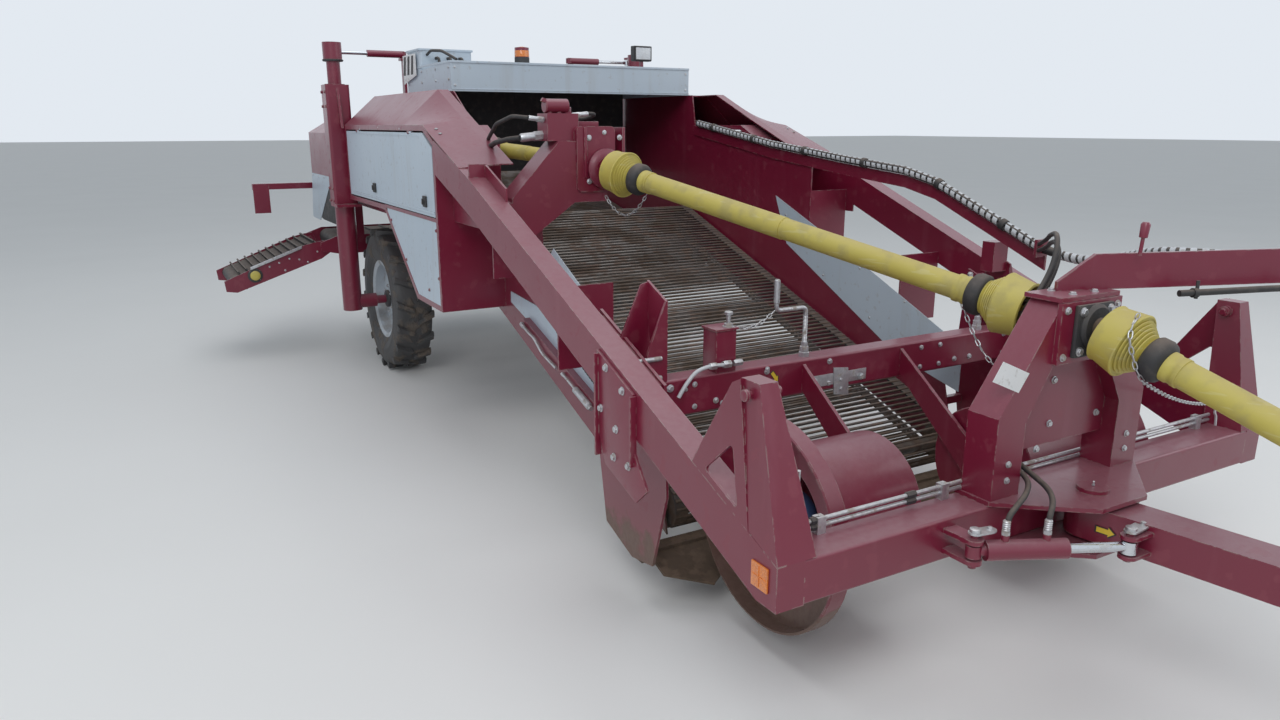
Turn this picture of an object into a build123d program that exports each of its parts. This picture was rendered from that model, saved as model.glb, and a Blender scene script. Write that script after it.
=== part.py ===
"""Trailed potato windrower: a towed digger that lifts two rows and lays the crop to its right.

Lengths are in millimetres. Machine places are written as X left of the centreline, Y back from
the front beam's face and Z up from the ground. The part's own origin is the hitch eye's centre.
"""

import os
from math import cos, radians, sin, tan

from build123d import *

os.makedirs("parts", exist_ok=True)

# Front frame
frame_width = 2450
beam_height = 140
beam_depth = 140
beam_bottom = 530
side_beam_width = 100
fold_radius = 10
beam_top = beam_bottom + beam_height
half_width = frame_width / 2
inner_half = half_width - side_beam_width

# Side beams, as (back, top) along their upper edge
beam_knee_y = 2410
beam_knee_z = 1596
beam_end_y = 2950
beam_end_z = 1772
beam_toe_y = 92
beam_web_z = 1350
side_beam_drop = 175
wall_tie_drop = 60
wall_tie_height = 300

# Steering plates and drawbar
pivot_y = -100
pivot_pin_r = 25
steer_plate = 15
steer_half = 380
steer_nose = 115
drawbar_width = 150
drawbar_height = 116
drawbar_length = 1400
drawbar_angle = 9
pin_play = 0.1
seat_play = 0.3
move_gap = 6
eye_bore_r = 25.5
eye_outer_r = 62
eye_thickness = 44
hitch_height = beam_bottom + beam_height / 2

# Drawbar ram, with its foot pin on the beam and its rod eye on the drawbar
ram_foot_x = -550
ram_foot_y = -95
ram_eye_x = -112
ram_eye_y = -310
ram_barrel_r = 32
ram_barrel_length = 290
ram_rod_r = 16
ram_pin_r = 12
ram_eye_r = 28
ram_eye_height = 40
port_foot = 95
port_rod = 225
port_rise = 50

# Parking jack
jack_reach = 900
jack_tube = 80
jack_leg_tube = 64
jack_sleeve_top = 745
jack_sleeve_bottom = 430
jack_foot = 210
jack_foot_thickness = 12
jack_leg_top = 555

# Corner towers
tower_top = 1165
tower_base_width = 140
tower_base_depth = 150
tower_top_width = 62
tower_top_depth = 86
tower_lean = 120
gusset_plate = 10
gusset_end = 440

# Pedestal that carries the drive shafts' joint
pedestal_foot_x = 307
pedestal_leg_width = 132
pedestal_knee = 960
pedestal_top = 1310
pedestal_top_x = 70
pedestal_depth = 120
bearing_z = 1225
bearing_r = 62
bearing_depth = 60
flange_half = 150
shaft_start_y = 170
flange_t = 18
shaft_x = 0

# Hose arm
arm_length = 1250
arm_t = 14
arm_root_x = -40
arm_root_y = 100
arm_depth = 118
arm_slant = 130
cap_t = 15
arm_angle = 19

# Tool beam and its rollers
tool_y = 1050
tool_depth = 100
tool_bottom = 755
tool_height = 150
roller_y = 585
roller_z = 478
roller_big_r = 395
roller_small_r = 250
roller_outer_x = 835
roller_step_x = 765
roller_step = 14
roller_hub_x = 800
roller_inner_x = 300
roller_wall = 10
roller_axle_r = 25
roller_arm = 16
upright_top = 1275
upright_width = 105
crank_right_x = -240
crank_offset = 155
crank_rod_r = 9

# Web side plates and trough
side_plate_x = inner_half - 75
side_plate_t = 12
trough_gap = 200
trough_half = side_plate_x - trough_gap
crank_left_x = trough_half - 35
wall_t = 8
web_play = 15
channel_depth = 60
channel_flange = 42
rail_t = 10
rail_depth = 62
bundle_r = 22
clamp_y = 812
clamp_t = 16
span_join = 900
pipe_r = 7
hose_r = 9

# Upper edge of the hose rail and of the left wall, as (back, up)
rail_rows = ((3660, 1848), (2760, 1713), (2055, 1639), (1655, 1602), (1445, 1556), (928, 1347), (790, 1290))

# Digging web, as its front and rear roller centres
web_front_y = 1250
web_front_z = 300
web_rear_y = 3720
web_rear_z = 1190
web_roller_r = 90
web_rod_r = 6
web_pitch = 100
web_belt = 10
web_belt_width = 60

# Second web
second_front_y = 3560
second_front_z = 860
second_rear_y = 5990
second_rear_z = 1400
second_roller_r = 75

# Gearbox over the digging web
gear_x = -560
gear_y = 2390
gear_z = 1640
gear_half = 105
gear_rise = 205
foot_lip = 60

# Side housings
housing_front = 2950
housing_rear = 5050
housing_bottom = 860
door_split = 1370
housing_eave = 1850
housing_ridge = 2050
housing_ridge_x = 1000
housing_slant_y = 4060
housing_toe_y = 3430
housing_rim = 30
cover_inner_x = 940
cover_t = 6
door_t = 12
door_gap = 10
hinge_r = 8
hinge_pin_r = 5
hinge_half = 20
door_front = 2980
rear_housing_front = 5350
rear_housing_rear = 6500

# Wheels and their legs
axle_y = 5200
axle_z = 545
tyre_r = 545
tyre_width = 280
tyre_x = 900
rim_r = 300
lug_height = 28
lug_count = 18
leg_x = 1240
leg_r = 70
sleeve_side = 168
sleeve_bottom = 1270
sleeve_top = 2130
leg_neck_r = 47
stub_r = 32
steer_arm = 150
steer_ram_z = 2365
leg_top = steer_ram_z + 55
steer_ram_end_x = 690

# Cross conveyors
cross_front = 5880
cross_rear = 6620
cross_z = 900
cross_roller_r = 55
cross_inner_x = 800
cross_hinge_x = 1130
cross_side = 150
belt_t = 8
cheek_t = 8
fold_x = -1280
fold_z = 890
fold_pin_r = 16
fold_boss_r = 34
discharge_length = 760
discharge_slope = 20
discharge_inset = 40
discharge_roller_start = 62
discharge_roller_r = 40
flight_height = 28
flight_pitch = 62

# Hood
hood_front = 3750
hood_rear = 4700
hood_half = trough_half
hood_top = 2225
hood_sheet = 6
curtain_t = 8
curtain_bottom = 1520
valve_box_width = 360
valve_box_depth = 300
valve_box_height = 110
work_lamp_x = 495
beacon_x = -200
beacon_y = 4200
beacon_r = 48

# Axle arch and rear frame
arch_z = 1690
arch_height = 150
arch_depth = 140
rear_beam_x = 960
rear_beam_z = 1250
rear_beam = 110
rear_overhang = 250
lamp_end_x = 1690

eye_x = drawbar_length * sin(radians(drawbar_angle))
eye_y = pivot_y - drawbar_length * cos(radians(drawbar_angle))


def spot(x, y, z):
    """A machine place in the part's own frame."""
    return Vector(x - eye_x, y - eye_y, z - hitch_height)


def lengthwise(x):
    """A plane across X at x, whose sketch axes are back and up and whose normal is left."""
    return Plane(origin=spot(x, 0, 0), x_dir=(0, 1, 0), z_dir=(1, 0, 0))


def crosswise(y):
    """A plane across Y at y, whose sketch axes are left and up and whose normal is forward."""
    return Plane(origin=spot(0, y, 0), x_dir=(1, 0, 0), z_dir=(0, -1, 0))


def level(z):
    """A plane at height z, whose sketch axes are left and back and whose normal is up."""
    return Plane(origin=spot(0, 0, z), x_dir=(1, 0, 0), z_dir=(0, 0, 1))


def sheet(plane, outline, thickness, mode=Mode.ADD, corner=0):
    """Extrude a closed outline of straight edges from a plane."""
    with BuildSketch(plane) as face:
        with BuildLine():
            Polyline(*outline, close=True)
        make_face()
        if corner:
            fillet(face.vertices(), corner)
    extrude(face.sketch, amount=thickness, mode=mode)


def side_sheet(x_a, x_b, outline, mode=Mode.ADD, corner=0):
    """A (back, up) outline between two X places, in either order."""
    low, high = sorted((x_a, x_b))
    sheet(lengthwise(low), outline, high - low, mode, corner)


def block(x_a, x_b, y_a, y_b, z_a, z_b, mode=Mode.ADD):
    """A box between two corners given as machine places."""
    middle = spot((x_a + x_b) / 2, (y_a + y_b) / 2, (z_a + z_b) / 2)
    with Locations(middle):
        Box(abs(x_b - x_a), abs(y_b - y_a), abs(z_b - z_a), mode=mode)


def bar(start, end, radius, mode=Mode.ADD):
    """A round bar between two machine places."""
    a, b = spot(*start), spot(*end)
    with BuildSketch(Plane(origin=a, z_dir=b - a)) as round_face:
        Circle(radius)
    extrude(round_face.sketch, amount=(b - a).length, mode=mode)


def cone(start, end, radius_a, radius_b, mode=Mode.ADD):
    """A straight taper between two machine places."""
    a, b = spot(*start), spot(*end)
    with BuildSketch(Plane(origin=a, z_dir=b - a)) as first:
        Circle(radius_a)
    with BuildSketch(Plane(origin=b, z_dir=b - a)) as last:
        Circle(radius_b)
    loft([first.sketch.face(), last.sketch.face()], mode=mode)


def trim(*others):
    """Cut other pieces away where this one is notched round them."""
    for other in others:
        add(other.part, mode=Mode.SUBTRACT)


def save(name, part):
    part.label = name
    export_step(part, f"parts/{name}.step")


def save_set(name, builders):
    """Save pieces that never move apart as one node."""
    save(name, Compound(children=[each.part for each in builders]))


def beam_z(y):
    """Height of the side beam's upper edge at y."""
    if y <= beam_knee_y:
        return beam_top + (beam_knee_z - beam_top) * y / beam_knee_y
    share = (y - beam_knee_y) / (beam_end_y - beam_knee_y)
    return beam_knee_z + (beam_end_z - beam_knee_z) * share


def hose(route, radius):
    """A hose along a route of machine places, with the largest arcs that its runs allow."""
    places = [spot(*place) for place in route]
    runs = [after - before for before, after in zip(places, places[1:])]
    radii = []
    for before, after in zip(runs, runs[1:]):
        half_turn = radians(before.get_angle(after)) / 2
        radii.append(0.45 * min(before.length, after.length) / tan(half_turn))
    print("hose radii", [round(each) for each in radii])
    with BuildLine() as middle:
        FilletPolyline(*places, radius=radii)
    with BuildSketch(Plane(origin=places[0], z_dir=runs[0])) as section:
        Circle(radius)
    sweep(section.sketch, path=middle.line)


SIDES = (("right", -1), ("left", 1))

# Front beam with the steering plates, the drawbar's pin and the ram's foot lugs
plate_outline = [
    (-steer_half, beam_depth),
    (-steer_half, 0),
    (-steer_nose, pivot_y - steer_nose),
    (steer_nose, pivot_y - steer_nose),
    (steer_half, 0),
    (steer_half, beam_depth),
]
with BuildPart() as front_beam:
    block(-inner_half, inner_half, 0, beam_depth, beam_bottom, beam_top)
    long_edges = front_beam.edges().filter_by(Axis.X)
    fillet(long_edges, fold_radius)
    sheet(level(beam_top), plate_outline, steer_plate)
    sheet(level(beam_bottom - steer_plate), plate_outline, steer_plate)
    bar(
        (0, pivot_y, beam_bottom - 2 * steer_plate),
        (0, pivot_y, beam_top + 2 * steer_plate),
        pivot_pin_r,
    )
    for washer_z in (beam_bottom - 2 * steer_plate, beam_top + steer_plate):
        bar((0, pivot_y, washer_z), (0, pivot_y, washer_z + steer_plate), 2 * pivot_pin_r)
    lug_gap = ram_eye_height / 2 + move_gap
    for lug_z in (hitch_height + lug_gap, hitch_height - lug_gap - steer_plate):
        block(
            ram_foot_x - ram_eye_r,
            ram_foot_x + ram_eye_r,
            ram_foot_y,
            fold_radius,
            lug_z,
            lug_z + steer_plate,
        )
        bar(
            (ram_foot_x, ram_foot_y, lug_z),
            (ram_foot_x, ram_foot_y, lug_z + steer_plate),
            ram_eye_r,
        )
    bar(
        (ram_foot_x, ram_foot_y, hitch_height - lug_gap - 2 * steer_plate),
        (ram_foot_x, ram_foot_y, hitch_height + lug_gap + 2 * steer_plate),
        ram_pin_r,
    )
save("front_beam", front_beam.part)

# Side beams that rise from the front corners to the housings
side_beams = {}
for side, s in SIDES:
    with BuildPart() as side_beam:
        outline = [
            (0, beam_bottom),
            (0, beam_top),
            (beam_knee_y, beam_knee_z),
            (beam_end_y, beam_end_z),
            (beam_end_y, beam_end_z - side_beam_drop),
            (beam_knee_y, beam_knee_z - side_beam_drop),
            (beam_toe_y, beam_bottom),
        ]
        side_sheet(s * inner_half, s * half_width, outline)
        web_toe_y = beam_knee_y - 70
        web = [
            (web_toe_y, beam_z(web_toe_y) - side_beam_drop + 1),
            (beam_knee_y, beam_knee_z - side_beam_drop + 1),
            (beam_end_y, beam_end_z - side_beam_drop + 1),
            (beam_end_y, beam_web_z),
            (web_toe_y, beam_web_z),
        ]
        side_sheet(s * inner_half, s * (inner_half + gusset_plate), web)
    side_beams[side] = side_beam
save_set("side_beams", side_beams.values())

# Tapered corner towers with their triangular gussets
towers = []
for side, s in SIDES:
    base_mid = s * (half_width - tower_base_width / 2)
    top_mid = s * (half_width - tower_top_width / 2 - fold_radius)
    with BuildPart() as tower:
        with BuildSketch(level(beam_top)) as tower_base:
            with Locations((base_mid, tower_base_depth / 2)):
                Rectangle(tower_base_width, tower_base_depth)
        with BuildSketch(level(tower_top)) as tower_tip:
            with Locations((top_mid, tower_lean + tower_top_depth / 2)):
                Rectangle(tower_top_width, tower_top_depth)
        loft()
        gusset = [
            (tower_base_depth - fold_radius, beam_z(tower_base_depth)),
            (tower_lean + tower_top_depth - fold_radius, tower_top),
            (tower_lean + tower_top_depth + 30, tower_top - 20),
            (gusset_end, beam_z(gusset_end)),
            (gusset_end, beam_z(gusset_end) - 20),
            (tower_base_depth - fold_radius, beam_z(tower_base_depth) - 20),
        ]
        low_x = s * half_width
        side_sheet(low_x, low_x - s * gusset_plate, gusset)
        hole_low = tower_base_depth + 45
        hole = [
            (hole_low, beam_z(hole_low) + 25),
            (tower_lean + tower_top_depth + 20, tower_top - 200),
            (gusset_end - 70, beam_z(gusset_end - 70) + 25),
        ]
        side_sheet(low_x, low_x - s * gusset_plate, hole, Mode.SUBTRACT, 12)
        bolt_y = tower_lean + tower_top_depth / 2
        bar(
            (s * (half_width - tower_top_width - 24), bolt_y, tower_top - 40),
            (s * (half_width - fold_radius), bolt_y, tower_top - 40),
            22,
        )
        trim(side_beams[side], front_beam)
    towers.append(tower)
save_set("corner_towers", towers)

# Pedestal that straddles the beam's middle and carries the shaft bearing
with BuildPart() as pedestal:
    half_leg = pedestal_leg_width / 2
    for side, s in SIDES:
        leg_outline = [
            (s * (pedestal_foot_x - half_leg), beam_top + steer_plate),
            (s * (pedestal_foot_x + half_leg), beam_top + steer_plate),
            (s * (pedestal_foot_x + half_leg), pedestal_knee),
            (s * (pedestal_top_x + 0.8 * half_leg), pedestal_top),
            (s * (pedestal_top_x - 0.8 * half_leg), pedestal_top),
            (s * (pedestal_foot_x - half_leg), pedestal_knee - 30),
        ]
        sheet(crosswise(pedestal_depth), leg_outline, pedestal_depth)
    cap_half = pedestal_top_x + half_leg + 10
    block(-cap_half, cap_half, -10, pedestal_depth + 10, pedestal_top, pedestal_top + cap_t)
    web_outline = [
        (-pedestal_foot_x, pedestal_knee - 150),
        (pedestal_foot_x, pedestal_knee - 150),
        (pedestal_foot_x, pedestal_knee - 20),
        (pedestal_top_x, pedestal_top),
        (-pedestal_top_x, pedestal_top),
        (-pedestal_foot_x, pedestal_knee - 20),
    ]
    sheet(crosswise(pedestal_depth / 2 + 6), web_outline, 12)
    bar(
        (shaft_x, pedestal_depth, bearing_z),
        (shaft_x, -bearing_depth, bearing_z),
        bearing_r,
        Mode.SUBTRACT,
    )
save("pto_pedestal", pedestal.part)

with BuildPart() as bearing:
    bar(
        (shaft_x, pedestal_depth + 15, bearing_z),
        (shaft_x, -bearing_depth / 2, bearing_z),
        bearing_r,
    )
    bar(
        (shaft_x, pedestal_depth + 15, bearing_z),
        (shaft_x, shaft_start_y, bearing_z),
        0.5 * bearing_r,
    )
    block(
        shaft_x - flange_half,
        shaft_x + flange_half,
        -flange_t,
        0,
        bearing_z - flange_half + 35,
        pedestal_top - 1,
    )
save("shaft_bearing", bearing.part)

# Deep plate that carries the hoses forward to the left
with BuildPart() as hose_arm:
    arm_z = pedestal_top + cap_t + arm_depth
    run_x = cos(radians(arm_angle))
    run_y = -sin(radians(arm_angle))
    arm_plane = Plane(
        origin=spot(arm_root_x, arm_root_y, arm_z),
        x_dir=(run_x, run_y, 0),
        z_dir=(run_y, -run_x, 0),
    )
    arm_outline = [
        (0, -arm_depth),
        (0, -0.75 * arm_depth),
        (arm_slant, 0),
        (arm_length - 60, 0),
        (arm_length, -0.3 * arm_depth),
        (arm_length, -arm_depth),
    ]
    sheet(arm_plane, arm_outline, arm_t)

# Side plates that hang from the beams and hold the web's front and the tools
with BuildPart() as side_plates:
    for side, s in SIDES:
        plate_points = [
            (tool_y - 170, beam_z(tool_y - 170) - 60),
            (tool_y + 330, beam_z(tool_y + 330) - 60),
            (tool_y + 370, 640),
            (web_front_y + 90, web_front_z - 60),
            (web_front_y - 130, 170),
            (tool_y - 90, 200),
            (tool_y - 190, 520),
        ]
        side_sheet(s * side_plate_x, s * (side_plate_x + side_plate_t), plate_points)
        side_sheet(
            s * (side_plate_x + side_plate_t),
            s * inner_half,
            [
                (tool_y - 150, beam_z(tool_y - 150) - 130),
                (tool_y - 150, beam_z(tool_y - 150) - 70),
                (tool_y + 300, beam_z(tool_y + 300) - 70),
                (tool_y + 300, beam_z(tool_y + 300) - 130),
            ],
        )
        channel_x = trough_half + wall_t
        side_sheet(
            s * channel_x,
            s * (channel_x + channel_flange),
            [
                (web_front_y + 90, web_front_z + 130),
                (web_front_y + 90, web_front_z + 130 + channel_depth),
                (web_front_y + 1350, web_front_z + 500 + channel_depth),
                (web_front_y + 1350, web_front_z + 500),
            ],
        )
        block(
            s * channel_x,
            s * side_plate_x,
            web_front_y + 95,
            web_front_y + 125,
            web_front_z + 140,
            web_front_z + 180,
        )
save("web_side_plates", side_plates.part)

# Cross beam that carries the rollers and the depth screws
with BuildPart() as tool_beam:
    block(
        -side_plate_x,
        side_plate_x,
        tool_y,
        tool_y + tool_depth,
        tool_bottom,
        tool_bottom + tool_height,
    )
    fillet(tool_beam.edges().filter_by(Axis.X), fold_radius)
save("tool_beam", tool_beam.part)

# Open channel uprights that rise from the tool beam beside the side beams
with BuildPart() as uprights:
    upright_foot = tool_bottom + tool_height
    for side, s in SIDES:
        inner_x = s * (side_plate_x - upright_width)
        outer_x = s * side_plate_x
        side_sheet(
            inner_x,
            inner_x + s * 10,
            [
                (tool_y, upright_foot),
                (tool_y, upright_top - 60),
                (tool_y + 140, upright_top),
                (tool_y + 140, upright_top - 90),
                (tool_y + tool_depth, upright_foot + 60),
                (tool_y + tool_depth, upright_foot),
            ],
        )
        sheet(
            crosswise(tool_y + gusset_plate),
            [
                (inner_x + s * 9, upright_foot),
                (inner_x + s * 9, upright_top - 60),
                (outer_x - s * 20, upright_top - 250),
                (outer_x, upright_foot),
            ],
            gusset_plate,
        )
save("channel_uprights", uprights.part)

# Depth screws with their cranked handles
with BuildPart() as cranks:
    for x, throw, rise in (
        (crank_right_x, -crank_offset, 210),
        (crank_left_x, -crank_offset / 2, 150),
    ):
        foot_z = tool_bottom + tool_height
        neck = foot_z + rise
        y = tool_y + tool_depth / 2
        bar((x, y, foot_z), (x, y, foot_z + 60), 24)
        bar((x, y, foot_z + 60), (x, y, neck + crank_rod_r), crank_rod_r)
        bar((x, y, neck), (x + throw, y, neck), crank_rod_r)
        bar((x + throw, y, neck - crank_rod_r), (x + throw, y, neck + 130), crank_rod_r)
save("depth_cranks", cranks.part)

# Roller arms, from the tool beam forward to each roller's inner end
roller_arms = []
for side, s in SIDES:
    with BuildPart() as arm:
        arm_x = s * (roller_inner_x - 14)
        arm_profile = [
            (tool_y, tool_bottom + tool_height - 20),
            (tool_y, tool_bottom + 20),
            (roller_y + 60, roller_z - 50),
            (roller_y - 55, roller_z - 50),
            (roller_y - 55, roller_z + 50),
            (roller_y + 30, roller_z + 90),
        ]
        side_sheet(arm_x, arm_x - s * roller_arm, arm_profile)
        bar(
            (arm_x, roller_y, roller_z),
            (s * (roller_hub_x + 20), roller_y, roller_z),
            roller_axle_r,
        )
    roller_arms.append(arm)
save_set("roller_arms", roller_arms)

# Stepped drum rollers, open at their outer ends
for side, s in SIDES:
    with BuildPart() as roller:
        with BuildSketch(Plane(origin=spot(0, roller_y, roller_z), x_dir=(s, 0, 0), z_dir=(0, -s, 0))):
            with BuildLine():
                Polyline(
                    (roller_inner_x, roller_small_r),
                    (roller_step_x - roller_step, roller_small_r),
                    (roller_step_x, roller_big_r),
                    (roller_outer_x, roller_big_r),
                    (roller_outer_x, roller_big_r - roller_wall),
                    (roller_step_x + roller_wall, roller_big_r - roller_wall),
                    (roller_step_x - roller_step + roller_wall, roller_small_r - roller_wall),
                    (roller_step_x - roller_step + roller_wall, 90),
                    (roller_hub_x, 70),
                    (roller_hub_x, roller_axle_r + pin_play),
                    (roller_inner_x, roller_axle_r + pin_play),
                    close=True,
                )
            make_face()
        revolve(axis=Axis(spot(0, roller_y, roller_z), (1, 0, 0)))
    save(f"depth_roller_{side}", roller.part)

# Digging share, a row of pointed blades on a cross bar
with BuildPart() as share:
    blade_count = 6
    blade_pitch = 2 * (side_plate_x - 30) / blade_count
    tip_y = web_front_y - 420
    for blade in range(blade_count):
        mid = (blade - (blade_count - 1) / 2) * blade_pitch
        half_blade = blade_pitch / 2 - 4
        with BuildSketch(
            Plane(origin=spot(mid, web_front_y - 130, 205), x_dir=(1, 0, 0), z_dir=(0, -0.30, 0.954))
        ) as blade_face:
            with BuildLine():
                Polyline(
                    (-half_blade, 0),
                    (half_blade, 0),
                    (half_blade, -180),
                    (0, -290),
                    (-half_blade, -180),
                    close=True,
                )
            make_face()
        extrude(blade_face.sketch, amount=12)
    block(-side_plate_x, side_plate_x, web_front_y - 190, web_front_y - 140, 165, 212)
save("digging_share", share.part)


def web_loop(front_y, front_z, rear_y, rear_z, radius, half, pitch):
    """A rod web: two flat belts round both rollers, with a rod across them at each pitch."""
    run = Vector(0, rear_y - front_y, rear_z - front_z)
    slope = run.normalized()
    centre_plane = Plane(origin=spot(0, front_y, front_z), x_dir=slope, z_dir=(1, 0, 0))
    for belt_x in (-half, half - web_belt_width):
        with BuildSketch(centre_plane.offset(belt_x)) as belt_face:
            with Locations((run.length / 2, 0)):
                SlotCenterToCenter(run.length, 2 * radius + 2 * web_belt)
                SlotCenterToCenter(run.length, 2 * radius, mode=Mode.SUBTRACT)
        extrude(belt_face.sketch, amount=web_belt_width)
    rods = int(run.length // pitch)
    with BuildSketch(centre_plane.offset(-half)) as rod_faces:
        for run_side in (1, -1):
            places = [(step * pitch, run_side * (radius + web_belt)) for step in range(rods + 1)]
            with Locations(*places):
                Rectangle(2 * web_rod_r, 2 * web_rod_r)
    extrude(rod_faces.sketch, amount=2 * half)


web_half = trough_half - web_play
with BuildPart() as digging_web:
    web_loop(web_front_y, web_front_z, web_rear_y, web_rear_z, web_roller_r, web_half, web_pitch)
save("digging_web", digging_web.part)

with BuildPart() as second_web:
    web_loop(
        second_front_y,
        second_front_z,
        second_rear_y,
        second_rear_z,
        second_roller_r,
        web_half,
        web_pitch,
    )
save("rear_web", second_web.part)

# Rollers that the webs run on, one shaft through each
with BuildPart() as web_rollers:
    for y, z, r in (
        (web_front_y, web_front_z, web_roller_r),
        (web_rear_y, web_rear_z, web_roller_r),
        (second_front_y, second_front_z, second_roller_r),
        (second_rear_y, second_rear_z, second_roller_r),
    ):
        bar((-trough_half, y, z), (trough_half, y, z), 30)
        for x in (-web_half, web_half - web_belt_width):
            bar((x, y, z), (x + web_belt_width, y, z), r)
save("web_rollers", web_rollers.part)


def wall_outline(side):
    """The trough wall as (back, up) points, higher at the front on the left."""
    low_front = (web_front_y - 60, web_front_z - 110)
    low_mid = (web_rear_y - 260, web_rear_z - 220)
    low_turn = (second_front_y + 60, second_front_z - 110)
    tyre_clear = 60
    low_tyre = (axle_y - tyre_r - 130, second_front_z + 40)
    low_arch = (axle_y - tyre_r + 60, axle_z + tyre_r + tyre_clear)
    low_rear = (second_rear_y + 100, second_rear_z - 110)
    high_rear = (second_rear_y + 100, housing_ridge - 150)
    high_mid = (housing_rear, housing_ridge)
    high_hood = (hood_front - 50, housing_ridge)
    if side == "left":
        high_front = [*rail_rows[:2], (2400, 1675), (2400, 1290), (tool_y + 300, 790)]
    else:
        high_front = [(3000, 1640), (2900, 1420), (2440, 1240), (tool_y + 300, 790)]
    low_edge = [low_front, low_mid, low_turn, low_tyre, low_arch, low_rear]
    return [*low_edge, high_rear, high_mid, high_hood, *high_front]


# Flat rail that carries the hoses from the left upright up along the left wall
bundle_x = trough_half - rail_t - 6
with BuildPart() as hose_rail:
    rail_outline = [*rail_rows, *[(y, z - rail_depth) for y, z in reversed(rail_rows)]]
    side_sheet(trough_half - rail_t, trough_half, rail_outline)
    block(bundle_x - 48, bundle_x + 25, clamp_y - clamp_t, clamp_y, 1288, 1365)
    block(
        trough_half,
        side_plate_x - upright_width,
        tool_y + 20,
        tool_y + 90,
        upright_top - 95,
        upright_top + 45,
    )
save_set("hose_carriers", (hose_arm, hose_rail))

# Axle arch over the rear web, between the legs' sleeves
with BuildPart() as arch:
    arch_half = leg_x - sleeve_side / 2
    block(
        -arch_half,
        arch_half,
        axle_y - arch_depth / 2,
        axle_y + arch_depth / 2,
        arch_z,
        arch_z + arch_height,
    )
    fillet(arch.edges().filter_by(Axis.X), fold_radius)

# Rear frame: two long beams under the housings, tied across behind the discharge
with BuildPart() as rear_frame:
    for side, s in SIDES:
        block(
            s * rear_beam_x,
            s * (rear_beam_x + rear_beam),
            housing_front + 200,
            rear_housing_rear + rear_overhang,
            rear_beam_z,
            rear_beam_z + rear_beam,
        )
    block(
        -rear_beam_x,
        rear_beam_x,
        rear_housing_rear + rear_overhang - rear_beam,
        rear_housing_rear + rear_overhang,
        rear_beam_z,
        rear_beam_z + rear_beam,
    )
save("rear_frame", rear_frame.part)

walls = {}
for side, s in SIDES:
    with BuildPart() as wall:
        side_sheet(s * trough_half, s * (trough_half + wall_t), wall_outline(side))
        for y in (web_front_y + 400, web_front_y + 1150):
            block(
                s * (trough_half + wall_t),
                s * inner_half,
                y,
                y + 10,
                beam_z(y) - side_beam_drop - wall_tie_height,
                beam_z(y) - side_beam_drop + wall_tie_drop,
            )
        for y in (second_rear_y - 60, axle_y + 300, axle_y - 500):
            tie_top = rear_beam_z + rear_beam / 2
            block(s * (trough_half + wall_t), s * rear_beam_x, y - 30, y + 30, rear_beam_z, tie_top)
        trim(arch, side_beams[side], tool_beam)
    walls[side] = wall
    save(f"trough_wall_{side}", wall.part)

# Pale lining plates that guide the crop onto the web, saved with the lower panels
with BuildPart() as linings:
    lining_right = [
        (web_front_y + 60, web_front_z + 250),
        (web_front_y + 100, 820),
        (2300, 1260),
        (2380, 1180),
        (2300, 960),
    ]
    lining_left = [
        (web_front_y - 50, 560),
        (web_front_y - 50, 790),
        (1985, 1131),
        (2725, 1429),
        (2600, 1148),
        (1640, 660),
    ]
    side_sheet(-trough_half, -trough_half + 4, lining_right)
    side_sheet(trough_half, trough_half - 4, lining_left)

# Side housings, open folded shells whose outer faces take the doors and panels
housing_outline = [
    (housing_front, housing_bottom),
    (housing_toe_y, housing_bottom),
    (housing_slant_y, door_split - door_gap - housing_rim),
    (housing_rear, door_split - door_gap - housing_rim),
    (housing_rear, housing_eave),
    (housing_front + 180, housing_eave),
    (housing_front, housing_eave - 85),
]
roof_profile = [
    (half_width, housing_eave),
    (housing_ridge_x, housing_ridge),
    (trough_half + wall_t, housing_ridge),
    (trough_half + wall_t, housing_ridge - 8),
    (housing_ridge_x - 4, housing_ridge - 8),
    (half_width - 12, housing_eave - 8),
    (half_width - 12, housing_eave - housing_rim),
    (half_width, housing_eave - housing_rim),
]
cover_rows = (
    (hood_front, housing_eave, housing_ridge),
    (3540, housing_eave, housing_ridge),
    (3130, housing_eave, 1885),
    (2560, 1648, 1664),
)
door_low = door_split
door_high = housing_eave - housing_rim - door_gap
hinge_places = (door_front + 400, housing_rear - 400)
housings = {}
for side, s in SIDES:
    wall_x = s * (trough_half + wall_t)
    with BuildPart() as housing:
        side_sheet(wall_x, s * half_width, housing_outline)
        with BuildSketch(lengthwise(min(wall_x, s * half_width))) as hollow:
            with BuildLine():
                Polyline(*housing_outline, close=True)
            make_face()
            offset(amount=-housing_rim, kind=Kind.INTERSECTION, mode=Mode.REPLACE)
        extrude(hollow.sketch, amount=abs(s * half_width - wall_x), mode=Mode.SUBTRACT)
        block(
            s * (half_width - door_t),
            s * half_width,
            housing_front + housing_rim,
            housing_slant_y,
            door_split - 25,
            door_split - 5,
        )
        roof_points = [(s * x, z) for x, z in roof_profile]
        sheet(crosswise(housing_rear), roof_points, housing_rear - hood_front)
        hinge_x = s * (half_width - door_t / 2)
        for y in hinge_places:
            bar((hinge_x, y + hinge_half + 2, door_high), (hinge_x, y + 60, door_high), hinge_r)
            block(
                hinge_x - 4,
                hinge_x + 4,
                y + hinge_half + 2,
                y + 60,
                door_high,
                door_high + door_gap + 2,
            )
            bar((hinge_x, y - hinge_half, door_high), (hinge_x, y + 60, door_high), hinge_pin_r)
        trim(walls[side], rear_frame, side_beams[side])
    housings[side] = housing
    save(f"side_housing_{side}", housing.part)

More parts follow.
